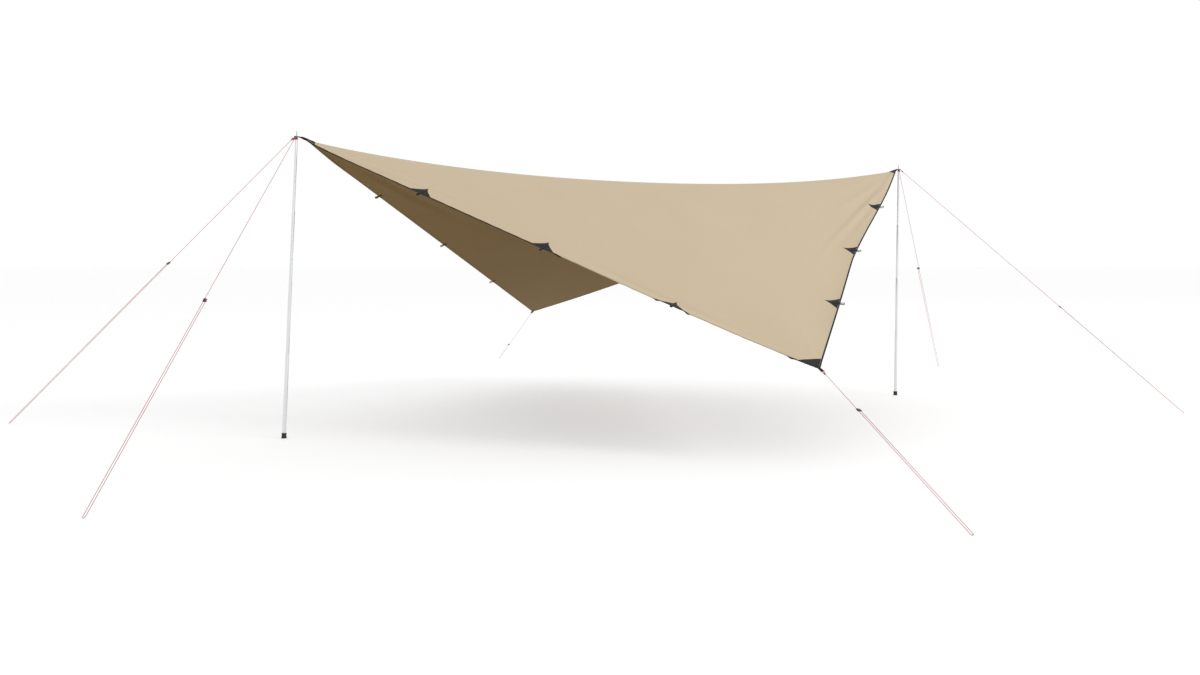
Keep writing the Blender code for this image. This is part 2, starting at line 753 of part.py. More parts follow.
def spike_eye(guy):
    """Eye laid over a pole's spike, under the strap, from its tail to the knot."""
    corner, _, _, level = GUYS[guy]
    pin = pin_matrix(corner)
    up = pin.to_3x3().col[2]
    origin = pin.translation
    height = -(EYELET_HALF_HEIGHT + GAP + CORD_DIAMETER / 2 + level * EYE_STACK)
    y_axis = up.cross(peg_point(guy) - origin).normalized()
    x_axis = y_axis.cross(up)
    r, h = EYE_RADIUS, EYE_RADIUS * DIAGONAL
    local = [
        (EYE_LENGTH, -TAIL_GAP, -0.0115),
        (0.024, -0.0060, -0.0025),
        (0.012, -0.0066, 0.0),
        (0.0, -r, 0.0),
        (-h, -h, 0.0),
        (-r, 0.0, 0.0),
        (-h, h, 0.0),
        (0.0, r, 0.0),
        (0.012, 0.0062, 0.0),
        (0.024, 0.0035, -0.0025),
        (EYE_LENGTH, 0.0, -0.0115),
    ]
    return [origin + x_axis * x + y_axis * y + up * (z + height) for x, y, z in local]


def strap_eye(guy):
    """Eye through the loop of a corner strap, from its tail to the knot."""
    corner = GUYS[guy][0]
    frame = strap_frame(corner)
    centre, radius = strap_loop(corner)
    inside = radius - STRAP_THICKNESS / 2 - CORD_DIAMETER / 2 - 2 * GAP
    origin = frame @ Vector((centre + inside, 0.0, strap_middle(corner, centre)))
    across = frame.to_3x3().col[1]
    along = (peg_point(guy) - origin).normalized()
    start = STRAP_WIDTH[corner] / 2 + GAP

    def bend(degrees):
        turn = math.radians(degrees)
        return EYE_BEND * (1 + math.cos(turn)), start + EYE_BEND * math.sin(turn)

    tail = [(x, -y) for x, y in (bend(angle) for angle in (70, 90, 120, 150, 180))]
    leg = [bend(angle) for angle in (180, 150, 120, 90, 65)]
    local = [(EYE_LENGTH, -TAIL_GAP), (0.022, -0.0092)] + tail
    local += [(0.0, 0.0)] + leg + [(0.022, 0.0072), (EYE_LENGTH, 0.0)]
    return [origin + along * x + across * y for x, y in local]


def guy_frame(guy):
    """Knot and peg ends of the standing leg, its direction down to the peg, and the side way."""
    eye = spike_eye(guy) if GUYS[guy][0] in POLE_SIDES else strap_eye(guy)
    knot, peg = eye[-1], peg_point(guy)
    down = (peg - knot).normalized()
    side = UP.cross(down).normalized()
    return eye, knot, peg, down, side


def guy_route(guy):
    """Whole route: eye, standing leg, turn at the peg, and the leg back into the runner."""
    eye, knot, peg, down, side = guy_frame(guy)
    runner = GUYS[guy][2]
    turn = LEG_GAP / 2
    standing = [knot + down * 0.03, (knot + peg) / 2, peg - down * 0.035]
    bight = [
        peg - down * 0.009,
        peg - down * 0.0028 + side * 0.0018,
        peg + side * turn,
        peg - down * 0.0028 + side * (LEG_GAP - 0.0018),
        peg - down * 0.009 + side * LEG_GAP,
    ]
    back = [peg - down * distance + side * LEG_GAP for distance in (0.035, runner / 2, runner - RETURN_END)]
    controls = eye + standing + bight + back
    samples = [2] * (len(eye) - 1) + [2, 1, 1, 2] + [2] * (len(bight) - 1) + [2, 1, 1]
    return smooth_path(controls, samples)


def make_guy(guy):
    curve = bpy.data.curves.new("guy_" + guy, "CURVE")
    curve.dimensions = "3D"
    curve.bevel_depth = CORD_DIAMETER / 2
    curve.bevel_resolution = 2
    curve.use_fill_caps = True
    points = guy_route(guy)
    spline = curve.splines.new("POLY")
    spline.points.add(len(points) - 1)
    for point, co in zip(spline.points, points):
        point.co = (*co, 1.0)
    curve.materials.append(CORD)
    made = bpy.data.objects.new("guy_" + guy, curve)
    PARTS.objects.link(made)


def rounded_outline(corners, radius, steps=3):
    """Outline of straight sides with each corner rounded by an arc."""
    points = []
    for k, corner in enumerate(corners):
        to_last = (corners[k - 1] - corner).normalized()
        to_next = (corners[(k + 1) % len(corners)] - corner).normalized()
        half = to_last.angle(to_next) / 2
        centre = corner + (to_last + to_next).normalized() * radius / math.sin(half)
        start = (corner + to_last * radius / math.tan(half) - centre).normalized()
        end = (corner + to_next * radius / math.tan(half) - centre).normalized()
        for step in range(steps + 1):
            points.append(centre + start.slerp(end, step / steps) * radius)
    return points


def runner_mesh():
    """Three-cornered plate with two bores along X, for the two legs of the line."""
    low, high = -RUNNER_MARGIN, LEG_GAP + RUNNER_MARGIN
    corners = [
        Vector((-RUNNER_BASE, low, 0.0)),
        Vector((-RUNNER_BASE, high, 0.0)),
        Vector((-RUNNER_BASE + 0.006, high, 0.0)),
        Vector((RUNNER_TOP, RUNNER_MARGIN * 0.8, 0.0)),
        Vector((RUNNER_TOP, low, 0.0)),
    ]
    outline = rounded_outline(corners, RUNNER_ROUND)
    curve = bpy.data.curves.new("runner_outline", "CURVE")
    curve.dimensions = "2D"
    curve.fill_mode = "BOTH"
    curve.extrude = RUNNER_THICKNESS / 2
    spline = curve.splines.new("POLY")
    spline.points.add(len(outline) - 1)
    for point, co in zip(spline.points, outline):
        point.co = (co.x, co.y, 0.0, 1.0)
    spline.use_cyclic_u = True
    plate = bpy.data.objects.new("runner_outline", curve)
    PARTS.objects.link(plate)
    body = mesh_of(plate)
    bpy.data.objects.remove(plate, do_unlink=True)
    blank = bpy.data.objects.new("runner_blank", body)
    PARTS.objects.link(blank)
    along_x = Matrix.Rotation(math.radians(90), 4, "Y")
    drills = []
    for number, y in enumerate((0.0, LEG_GAP)):
        drill = cylinder_mesh(f"runner_bore_{number}", RUNNER_HOLE, 0.08, steps=12)
        matrix = Matrix.Translation((0.0, y, 0.0)) @ along_x
        drills.append(add_cutter(f"runner_bore_{number}", drill, matrix))
        cut(blank, drills[-1])
    mesh = mesh_of(blank)
    for helper in [blank] + drills:
        bpy.data.objects.remove(helper, do_unlink=True)
    return mesh


def mesh_of(made):
    """Evaluated mesh of an object, with its loose caps joined on."""
    bpy.context.view_layer.update()
    graph = bpy.context.evaluated_depsgraph_get()
    mesh = bpy.data.meshes.new_from_object(made.evaluated_get(graph))
    bm = bmesh.new()
    bm.from_mesh(mesh)
    bmesh.ops.remove_doubles(bm, verts=bm.verts, dist=0.00001)
    bmesh.ops.recalc_face_normals(bm, faces=bm.faces)
    bm.to_mesh(mesh)
    bm.free()
    return mesh


def runner_matrix(guy):
    """Frame of a runner: X up the standing leg, Y towards the returning leg."""
    _, _, peg, down, side = guy_frame(guy)
    return frame_matrix(-down, side, (-down).cross(side), peg - down * GUYS[guy][2])


def make_runners():
    mesh = runner_mesh()
    for guy in GUYS:
        add_object("runner_" + guy, mesh, PLASTIC, runner_matrix(guy))


def main():
    make_canopy()
    for edge in EDGES:
        make_binding(edge)
    make_edge_tabs()
    for corner in CORNER_STEPS:
        make_corner_patch(corner)
        make_corner_strap(corner)
    for side in POLE_SIDES:
        make_pole(side)
    for guy in GUYS:
        make_guy(guy)
    make_runners()
    bpy.context.view_layer.update()


main()
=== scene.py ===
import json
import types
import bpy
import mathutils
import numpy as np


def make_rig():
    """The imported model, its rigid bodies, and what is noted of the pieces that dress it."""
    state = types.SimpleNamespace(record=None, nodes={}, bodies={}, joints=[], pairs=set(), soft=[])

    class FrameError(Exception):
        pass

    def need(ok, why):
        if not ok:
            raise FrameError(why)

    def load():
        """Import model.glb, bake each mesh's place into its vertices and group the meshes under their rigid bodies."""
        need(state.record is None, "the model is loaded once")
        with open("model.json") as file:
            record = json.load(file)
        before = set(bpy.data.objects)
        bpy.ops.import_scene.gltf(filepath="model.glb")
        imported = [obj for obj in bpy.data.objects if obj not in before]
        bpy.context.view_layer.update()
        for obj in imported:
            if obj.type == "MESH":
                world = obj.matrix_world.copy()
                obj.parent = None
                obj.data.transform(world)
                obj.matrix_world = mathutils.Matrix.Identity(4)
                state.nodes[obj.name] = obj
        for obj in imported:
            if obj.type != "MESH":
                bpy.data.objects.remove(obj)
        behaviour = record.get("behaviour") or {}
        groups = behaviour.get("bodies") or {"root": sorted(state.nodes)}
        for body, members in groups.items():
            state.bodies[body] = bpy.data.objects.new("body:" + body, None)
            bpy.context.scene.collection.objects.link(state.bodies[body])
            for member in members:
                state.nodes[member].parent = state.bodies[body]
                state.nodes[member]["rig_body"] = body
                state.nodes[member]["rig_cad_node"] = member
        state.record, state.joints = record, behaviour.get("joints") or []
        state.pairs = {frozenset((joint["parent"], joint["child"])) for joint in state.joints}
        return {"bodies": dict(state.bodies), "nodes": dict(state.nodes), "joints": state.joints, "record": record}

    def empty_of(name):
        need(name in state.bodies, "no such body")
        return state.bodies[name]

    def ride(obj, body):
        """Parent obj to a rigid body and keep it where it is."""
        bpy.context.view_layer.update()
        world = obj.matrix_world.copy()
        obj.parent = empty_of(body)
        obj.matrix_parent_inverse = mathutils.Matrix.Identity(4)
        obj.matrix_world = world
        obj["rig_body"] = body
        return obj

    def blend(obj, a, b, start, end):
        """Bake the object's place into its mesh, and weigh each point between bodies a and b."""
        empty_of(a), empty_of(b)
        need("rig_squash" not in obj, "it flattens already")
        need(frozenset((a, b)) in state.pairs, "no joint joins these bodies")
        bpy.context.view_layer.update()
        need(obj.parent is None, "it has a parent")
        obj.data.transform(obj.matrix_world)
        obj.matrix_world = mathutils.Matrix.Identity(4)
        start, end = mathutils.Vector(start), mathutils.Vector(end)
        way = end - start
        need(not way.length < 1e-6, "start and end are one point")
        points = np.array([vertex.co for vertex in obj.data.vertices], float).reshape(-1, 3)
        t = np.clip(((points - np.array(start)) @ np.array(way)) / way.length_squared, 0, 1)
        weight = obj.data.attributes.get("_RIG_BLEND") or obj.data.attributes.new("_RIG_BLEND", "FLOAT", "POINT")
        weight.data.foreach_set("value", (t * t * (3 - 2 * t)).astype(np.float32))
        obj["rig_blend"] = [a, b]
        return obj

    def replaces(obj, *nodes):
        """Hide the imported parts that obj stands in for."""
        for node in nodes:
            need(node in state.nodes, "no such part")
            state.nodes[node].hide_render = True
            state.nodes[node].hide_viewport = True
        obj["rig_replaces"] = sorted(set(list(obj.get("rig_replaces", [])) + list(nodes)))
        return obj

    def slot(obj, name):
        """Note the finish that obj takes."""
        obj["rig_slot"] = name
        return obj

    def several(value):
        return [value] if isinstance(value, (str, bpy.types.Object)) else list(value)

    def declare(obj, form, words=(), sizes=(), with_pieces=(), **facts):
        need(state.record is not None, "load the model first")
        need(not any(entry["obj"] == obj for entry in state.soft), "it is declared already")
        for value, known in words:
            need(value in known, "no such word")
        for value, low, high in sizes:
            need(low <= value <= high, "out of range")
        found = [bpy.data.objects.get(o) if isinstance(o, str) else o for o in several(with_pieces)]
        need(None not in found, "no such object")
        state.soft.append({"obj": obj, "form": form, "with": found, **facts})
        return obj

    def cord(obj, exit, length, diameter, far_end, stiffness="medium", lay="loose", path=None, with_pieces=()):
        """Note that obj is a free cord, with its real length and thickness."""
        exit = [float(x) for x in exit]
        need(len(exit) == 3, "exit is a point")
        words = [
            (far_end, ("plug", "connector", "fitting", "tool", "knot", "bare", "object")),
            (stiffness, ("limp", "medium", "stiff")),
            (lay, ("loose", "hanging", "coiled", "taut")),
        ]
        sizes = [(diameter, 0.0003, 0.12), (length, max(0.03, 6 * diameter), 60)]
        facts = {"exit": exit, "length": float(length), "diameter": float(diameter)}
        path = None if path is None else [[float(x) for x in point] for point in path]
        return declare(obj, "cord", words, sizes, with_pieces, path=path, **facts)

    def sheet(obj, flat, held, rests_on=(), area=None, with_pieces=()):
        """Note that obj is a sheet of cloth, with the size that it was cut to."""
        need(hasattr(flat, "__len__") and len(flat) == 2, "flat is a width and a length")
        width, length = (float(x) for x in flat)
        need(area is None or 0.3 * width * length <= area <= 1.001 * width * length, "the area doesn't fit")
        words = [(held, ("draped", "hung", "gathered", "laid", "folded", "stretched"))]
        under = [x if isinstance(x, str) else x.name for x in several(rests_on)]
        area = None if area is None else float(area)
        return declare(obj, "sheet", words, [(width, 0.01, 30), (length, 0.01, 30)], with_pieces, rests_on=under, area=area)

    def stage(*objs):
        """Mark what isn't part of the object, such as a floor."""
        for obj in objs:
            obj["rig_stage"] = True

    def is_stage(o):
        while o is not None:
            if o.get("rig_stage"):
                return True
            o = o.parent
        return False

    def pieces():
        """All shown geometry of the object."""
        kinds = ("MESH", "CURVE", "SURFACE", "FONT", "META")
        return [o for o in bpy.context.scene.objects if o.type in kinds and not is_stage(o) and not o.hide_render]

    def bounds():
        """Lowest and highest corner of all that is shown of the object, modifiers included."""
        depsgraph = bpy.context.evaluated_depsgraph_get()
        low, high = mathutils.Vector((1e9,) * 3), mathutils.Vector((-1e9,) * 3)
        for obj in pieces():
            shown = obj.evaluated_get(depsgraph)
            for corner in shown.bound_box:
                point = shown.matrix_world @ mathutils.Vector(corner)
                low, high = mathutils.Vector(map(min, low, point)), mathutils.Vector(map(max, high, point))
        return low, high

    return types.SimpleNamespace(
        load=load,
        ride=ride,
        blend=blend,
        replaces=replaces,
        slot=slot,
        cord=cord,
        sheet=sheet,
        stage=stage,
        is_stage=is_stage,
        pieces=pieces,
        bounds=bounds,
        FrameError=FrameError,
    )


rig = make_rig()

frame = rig.load()

# The looks of a square camping tarp, pitched as a saddle: two opposite corners stand high on
# telescopic poles, the other two are guyed low. Metres, +Z up, ground at z = 0, +X along the
# ridge from the left pole to the right one, +Y towards the back corner.

import json
from functools import partial
from math import copysign, cos, exp, hypot, pi, radians, sin, sqrt

import bpy
from mathutils import Matrix, Vector

CAD_BOX = [list(corner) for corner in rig.bounds()]

# Sizes of the solids, which the pieces made here follow
RIDGE_X = 0.0439
RIDGE_Y = -0.0308
PIN_PLACES = {"left": (-2.789, 0.0, 2.163), "right": (2.789, 0.0, 2.158)}
FOOT_PLACES = {"left": (-2.875, 0.013, 0.0), "right": (2.762, 0.015, 0.0)}
TUBE_NAMES = ("lower_tube", "second_tube", "third_tube", "top_tube")
TUBE_DIAMETERS = (0.028, 0.025, 0.022, 0.019)
TUBE_LENGTH = 0.600
TUBE_WALL = 0.0012
CAP_FLOOR = 0.006
CAP_HEIGHT = 0.036
CAP_WALL = 0.0022
CAP_FLARE = 0.0189
PLUG_STEM = 0.030
PLUG_SHOULDER = 0.008
PLUG_RADIUS = 0.0105
SPIKE_RADIUS = 0.004
SPIKE_SOCKET = 0.0145
SPIKE_ABOVE_STRAP = 0.040
GAP = 0.0004

FRONT_CORNER = (0.012, -2.392, 0.590)
BACK_CORNER = (0.008, 2.464, 0.753)
CLOTH_SIDE = 4.0
CLOTH_AREA = 14.1
CLOTH_THICKNESS = 0.0008
RIDGE_LIFT = 3.014
RIDGE_SOFTNESS = 0.12
FRONT_BOW = 0.082
FRONT_DROP = 0.025
BACK_BOW = 0.126
BACK_DROP = 0.084
CORNER_PULL = {"left": 0.018, "right": 0.008, "front": 0.010}
PULL_SPAN = 0.030
# Steeper fall of the front flap at the left corner: its depth, and how fast it comes and goes
FLAP_DROP = 0.020
FLAP_START = 0.010
FLAP_SPAN = 0.060
# Outward swells of the front right hem: how far, where each starts and ends, and its skew
HEM_SWELLS = ((0.017, 0.03, 0.47, 1.0), (0.033, 0.45, 1.0, 1.5))
# Hollow that runs beside the front hems: its depth, and how far from the hem it is deepest
HOLLOW_DEPTH = 0.025
HOLLOW_PLACE = 0.22
HOLLOW_RIGHT = (0.05, 0.20, 0.85, 0.95)
HOLLOW_LEFT = (0.45, 0.72, 0.85, 0.95)

BINDING_WIDTH = 0.009
CORNER_PATCH = {"left": 0.085, "right": 0.120, "front": 0.150, "back": 0.150}
TAB_SPOTS = {
    "front_left": (0.241, 0.488, 0.737),
    "front_right": (0.258, 0.510, 0.759),
    "back_right": (0.280, 0.530, 0.780),
    "back_left": (0.215, 0.460, 0.709),
}
TAB_PATCH_BASE = 0.160
TAB_PATCH_HEIGHT = 0.095
TAB_PATCH_TIP = 0.0032
TAB_WEBBING = 0.012
TAB_THICKNESS = 0.0011
TAB_REACH = 0.0345
STRAP_WIDTH = {"left": 0.022, "right": 0.022, "front": 0.016, "back": 0.016}
STRAP_THICKNESS = 0.0016
STRAP_REACH = {"left": 0.052, "right": 0.028, "front": 0.030, "back": 0.026}
STRAP_SEWN = 0.036
STRAP_PAST_PIN = 0.014
STRAP_FLAT = 0.012
PIN_RISE = 0.003
PIN_LOOP_RADIUS = 0.0023
CORD_LOOP_RADIUS = 0.0045
EYELET_HOLE = 0.0064
EYELET_BARREL = 0.0060
EYELET_BORE = 0.0052
EYELET_FLANGE = 0.0098
EYELET_HALF_HEIGHT = 0.0043

# Guy lines: corner that each one holds, its peg on the ground, its runner's distance up from
# the peg, and its place on the pole tip, counted downwards
GUYS = {
    "left_back": ("left", (-4.716, 1.633), 1.916, 0),
    "left_front": ("left", (-4.103, -1.957), 1.512, 1),
    "front": ("front", (-0.420, -4.055), 1.256, 0),
    "back": ("back", (0.672, 5.331), 1.042, 0),
    "right_back": ("right", (5.121, 1.887), 2.063, 0),
    "right_front": ("right", (4.106, -1.962), 1.284, 1),
}
CORD_DIAMETER = 0.003
LEG_GAP = 0.014
TURN_LENGTH = 0.035
# Knots: their length, radius and turns, and how much wider than high the barrel knot is
BARREL_KNOT = (0.024, 0.0040, 7, 1.25)
STOPPER_LENGTH = 0.0075
STOPPER_RADIUS = 0.0027
STOPPER_TURNS = 3
STOPPER_GAP = 0.0056
PEG_CLEARANCE = 0.0002
EYE_LENGTH = 0.036
EYE_RADIUS = 0.0062
EYE_STACK = 0.0035
EYE_ROOM = 0.0074
EYE_BEND = 0.0070
TAIL_GAP = 0.0042
RUNNER_TOP = 0.018
RUNNER_BASE = 0.010
RUNNER_MARGIN = 0.0055
RUNNER_THICKNESS = 0.007
RUNNER_HOLE = 0.0021
RUNNER_ROUND = 0.0025

# Cells across the cloth, and the distances at which their spacing changes
CANOPY_CELLS = 200
CANOPY_COLUMNS = ((0, 0.0), (150, 3.5), (200, 4.0))
CANOPY_ROWS = ((0, 0.0), (16, 0.018), (46, 0.35), (200, 4.0))

# Fold beside the lower half of the front left hem: its depth, distance in and half width, and
# where along the edge it starts, is full, eases off and ends
FOLD_DEPTH = 0.009
FOLD_PLACE = 0.095
FOLD_WIDTH = 0.035
FOLD_STRETCH = (0.52, 0.64, 0.80, 0.92)
# Lower half of the front left hem, which rolls under: how much cloth is rolled, how tightly, and
# the two stretches of it
HEM_ROLL = 0.018
ROLL_RADIUS = 0.0040
ROLL_STRETCHES = ((0.512, 0.535, 0.696, 0.716), (0.758, 0.777, 0.938, 0.958))
# Small waves along the hems: their height, and how far in they die away
WAVE_HEIGHT = 0.0006
WAVE_REACH = 0.05

# Sizes of the sewn pieces, and how finely round things are drawn
CORNER_SPAN = 0.05
EDGE_STEP = 0.004
TAPE_HEIGHT = 0.0013
TAPE_THICKNESS = 0.0009
TAPE_END = 0.016
PATCH_HEIGHT = 0.0011
PATCH_THICKNESS = 0.0008
PATCH_BORDER = 0.011
STRAP_OVER = 0.0036
STRAP_UNDER = 0.0034
STITCH_WIDTH = 0.0009
STITCH_PITCH = 0.0035
STITCH_SHARE = 0.72
BUMP_FILTER = 0.1
TURNED_SIDES = 64
CORD_SIDES = 10
KNOT_SIDES = 8
MERGE = 0.00001

# The camera's lens in millimetres, its shift, its place, and how far it is turned to the right
CAMERA_LENS = 30.27
CAMERA_SHIFT = -0.0592
CAMERA_PLACE = (-3.932, -7.492, 1.230)
CAMERA_TURN = 25.41
# The lamp's side in metres, its power in watts, its place and the point that it shines at
LAMP_SIZE = 7.0
LAMP_POWER = 2200.0
LAMP_PLACE = Vector((14.0, -16.0, 13.0))
LAMP_AIM = Vector((0.3, -0.5, 1.4))

UP = Vector((0.0, 0.0, 1.0))
POLE_SIDES = ("left", "right")


def place(x, y, z):
    return Vector((x + RIDGE_X, y + RIDGE_Y, z))


# Camera, at the photograph's viewing angle


def add_camera():
    data = bpy.data.cameras.new("camera")
    data.lens = CAMERA_LENS
    data.sensor_width = 36.0
    data.shift_y = CAMERA_SHIFT
    data.clip_end = 4000.0
    camera = bpy.data.objects.new("camera", data)
    bpy.context.scene.collection.objects.link(camera)
    camera.location = place(*CAMERA_PLACE)
    camera.rotation_euler = (radians(90), 0.0, radians(-CAMERA_TURN))
    bpy.context.scene.camera = camera


# Materials


def colour(code):
    """Linear colour from an sRGB hex code."""
    parts = [int(code[i : i + 2], 16) / 255 for i in (1, 3, 5)]
    linear = [c / 12.92 if c <= 0.04045 else ((c + 0.055) / 1.055) ** 2.4 for c in parts]
    return (*linear, 1.0)


def add_node(tree, kind, sockets=(), output=None, **settings):
    """Adds a node with its settings; its sockets, in their order, take values or outputs."""
    made = tree.nodes.new("ShaderNode" + kind)
    for name, value in settings.items():
        setattr(made, name, value)
    for socket, value in zip((s for s in made.inputs if s.enabled), sockets):
        if isinstance(value, bpy.types.NodeSocket):
            tree.links.new(value, socket)
        else:
            socket.default_value = colour(value) if isinstance(value, str) else value
    return made.outputs[output] if output else next(out for out in made.outputs if out.enabled)


def new_material(name, **sockets):
    """Material with a single shader, and the function that adds nodes to it.

    The sockets are the shader's own, with _ for a space.
    """
    made = bpy.data.materials.new(name)
    made.use_nodes = True
    shader = made.node_tree.nodes["Principled BSDF"]
    for socket, value in sockets.items():
        shader.inputs[socket.replace("_", " ")].default_value = value
    return made, partial(add_node, made.node_tree)


def dress(made, base, rough, height, strength, depth):
    """Gives a material its colour, its roughness and a bump, depth metres deep."""
    tree = made.node_tree
    shader = tree.nodes["Principled BSDF"]
    bump = add_node(tree, "Bump", (strength, depth, BUMP_FILTER, height))
    for socket, output in (("Base Color", base), ("Roughness", rough), ("Normal", bump)):
        tree.links.new(output, shader.inputs[socket])
    return made


def threads(add, uv, spacing):
    """Over-and-under height of a plain weave, one thread every spacing metres each way."""
    scale = 2 * pi / (20 * 2 * spacing)
    warp = add("TexWave", (uv, scale), bands_direction="X")
    weft = add("TexWave", (uv, scale), bands_direction="Y")
    return add("Math", (warp, weft), operation="MULTIPLY")


def stitches(add, along, across, at):
    """Mask of a row of stitches that runs along one coordinate, where the other one is at."""
    row = add("Math", (across, at, STITCH_WIDTH / 2), operation="COMPARE")
    pitches = add("Math", (along, STITCH_PITCH), operation="DIVIDE")
    share = add("Math", (pitches,), operation="FRACT")
    dash = add("Math", (share, STITCH_SHARE), operation="LESS_THAN")
    return add("Math", (row, dash), operation="MULTIPLY")


def coated_polyester(name, light, dark, roughness, sheen, gloss):
    """Polyester taffeta, coated: matt, faintly uneven in tone, with its weave only seen close up.

    Its thread spacing of 0.3 mm is drawn 1.5 mm wide so that it shows.
    """
    made, add = new_material(name, Sheen_Weight=sheen, Sheen_Roughness=0.5, Specular_IOR_Level=gloss)
    uv = add("TexCoord", output="UV")
    cloud = add("TexNoise", (uv, 1.7, 3.0, 0.6))
    slub = add("TexNoise", (uv, 240.0))
    mixed = add("Mix", (0.35, cloud, slub))
    base = add("Mix", (mixed, dark, light), data_type="RGBA")
    rough = add("Math", (slub, 0.12, roughness - 0.06), operation="MULTIPLY_ADD")
    return dress(made, base, rough, threads(add, uv, 0.0015), 0.18, 0.0002)


def tape_material(name, light, dark, stitch, rows):
    """Ribbed polyester grosgrain: dull black, a rib every 1 mm across it, with rows of stitches."""
    made, add = new_material(name, Sheen_Weight=0.03, Specular_IOR_Level=0.2)
    uv = add("TexCoord", output="UV")
    along = add("SeparateXYZ", (uv,), output="X")
    across = add("SeparateXYZ", (uv,), output="Y")
    ribs = add("TexWave", (uv, 2 * pi / (20 * 0.001)))
    fuzz = add("TexNoise", (uv, 900.0))
    height = add("Math", (fuzz, 0.5, ribs), operation="MULTIPLY_ADD")
    share = add("Math", (height, 0.6), operation="MULTIPLY")
    base = add("Mix", (share, dark, light), data_type="RGBA")
    for at in rows:
        sewn = stitches(add, along, across, at)
        base = add("Mix", (sewn, base, stitch), data_type="RGBA")
        height = add("Math", (sewn, 1.6, height), operation="MULTIPLY_ADD")
    rough = add("Math", (fuzz, 0.2, 0.62), operation="MULTIPLY_ADD")
    return dress(made, base, rough, height, 0.6, 0.0002)


def patch_material():
    """Heavy nylon oxford: a coarse weave, 1.6 mm each way, that greys where light grazes it."""
    made, add = new_material("nylon_oxford_patch", Sheen_Weight=0.05, Specular_IOR_Level=0.2)
    uv = add("TexCoord", output="UV")
    fuzz = add("TexNoise", (uv, 500.0, 3.0))
    uneven = add("Math", (fuzz, 0.8, 0.5), operation="MULTIPLY_ADD")
    weave = add("Math", (threads(add, uv, 0.0016), uneven), operation="MULTIPLY")
    base = add("Mix", (weave, "#0B0B0C", "#1E1E20"), data_type="RGBA")
    rough = add("Math", (fuzz, 0.2, 0.6), operation="MULTIPLY_ADD")
    return dress(made, base, rough, weave, 0.7, 0.0004)


def cord_material():
    """Braided polyester guy cord: sixteen strands cross every 3 mm, with a dull sheen."""
    made, add = new_material("braided_guy_cord", Sheen_Weight=0.3, Sheen_Roughness=0.4)
    uv = add("TexCoord", output="UV")
    along = add("SeparateXYZ", (uv,), output="X")
    around = add("SeparateXYZ", (uv,), output="Y")
    lay = add("Math", (along, 2 * pi / 0.006), operation="MULTIPLY")
    turn = add("Math", (around, 2 * pi * 4), operation="MULTIPLY")
    strands = []
    for way in ("ADD", "SUBTRACT"):
        crossing = add("Math", (turn, lay), operation=way)
        strands.append(add("Math", (crossing,), operation="SINE"))
    crossed = add("Math", strands, operation="MULTIPLY")
    braid = add("Math", (crossed, 0.5, 0.5), operation="MULTIPLY_ADD")
    base = add("Mix", (braid, "#7E1219", "#C62A34"), data_type="RGBA")
    rough = add("Math", (braid, -0.1, 0.62), operation="MULTIPLY_ADD")
    return dress(made, base, rough, braid, 0.6, 0.0003)


def tube_material():
    """Drawn and anodised aluminium: fine lines along the tube, and rubbed rings from sliding."""
    made, add = new_material("anodised_aluminium", Metallic=1.0)
    spot = add("TexCoord", output="Object")
    drawn_out = add("VectorMath", (spot, (900.0, 900.0, 4.0)), operation="MULTIPLY")
    lines = add("TexNoise", (drawn_out, 1.0))
    rubbed = add("VectorMath", (spot, (12.0, 12.0, 420.0)), operation="MULTIPLY")
    rings = add("TexNoise", (rubbed, 1.0, 3.0))
    mixed = add("Mix", (0.4, lines, rings))
    base = add("Mix", (mixed, "#CFD1D3", "#ECEDEE"), data_type="RGBA")
    rough = add("Math", (mixed, 0.16, 0.22), operation="MULTIPLY_ADD")
    return dress(made, base, rough, lines, 0.12, 0.0001)


def grainy_material(name, light, dark, roughness, grain, depth, metallic=0.0):
    """Moulded or plated surface: an even grain, and a little wear in the colour.

    The grain is given in metres. A real one is finer than 0.2 mm, so it is drawn coarser to show.
    """
    made, add = new_material(name, Metallic=metallic)
    spot = add("TexCoord", output="Object")
    fine = add("TexNoise", (spot, 1 / grain))
    wear = add("TexNoise", (spot, 60.0, 4.0))
    mixed = add("Mix", (0.6, fine, wear))
    base = add("Mix", (mixed, dark, light), data_type="RGBA")
    rough = add("Math", (wear, 0.2, roughness - 0.1), operation="MULTIPLY_ADD")
    return dress(made, base, rough, fine, 0.5, depth)


OUTSIDE = coated_polyester("polyester_outside", "#B9A98F", "#B1A187", 0.7, 0.05, 0.15)
# The inside's brown is the coating's own colour, made darker still with painted shade of the underside
INSIDE_WITH_PAINTED_SHADE = coated_polyester("polyester_inside", "#7A6441", "#705B39", 0.6, 0.0, 0.1)
BLACK_TAPE = tape_material("polyester_binding_tape", "#1C1C1D", "#0C0C0D", "#262628", (0.0022,))
BLACK_WEBBING = tape_material("nylon_webbing", "#1C1C1E", "#0B0B0C", "#2E2E31", (0.0025, 0.0055))
PATCH_CLOTH = patch_material()
RED_CORD = cord_material()
POLE_METAL = tube_material()
# Rubber is dull and soft edged, acetal is smooth with a low gloss, and nylon lies between them
BLACK_RUBBER = grainy_material("black_rubber", "#2A2A2A", "#141414", 0.72, 0.0006, 0.0003)
BLACK_PLASTIC = grainy_material("moulded_black_acetal", "#262628", "#121213", 0.42, 0.0005, 0.0001)
GREY_NYLON = grainy_material("moulded_grey_nylon", "#6F7072", "#595A5C", 0.5, 0.0006, 0.0002)
# Nickel plate is bright and slightly yellow, and zinc plate is cooler and a little cloudier
NICKEL = grainy_material("nickelled_brass", "#C9C6BE", "#A7A399", 0.28, 0.0008, 0.00005, 1.0)
STEEL = grainy_material("zinc_plated_steel", "#C4C7CA", "#9DA1A5", 0.32, 0.0007, 0.00005, 1.0)


# Making and finishing pieces


def select_only(*pieces):
    """Selects these pieces alone, the first of them active, or nothing at all."""
    bpy.ops.object.select_all(action="DESELECT")
    for piece in reversed(pieces):
        piece.select_set(True)
        bpy.context.view_layer.objects.active = piece


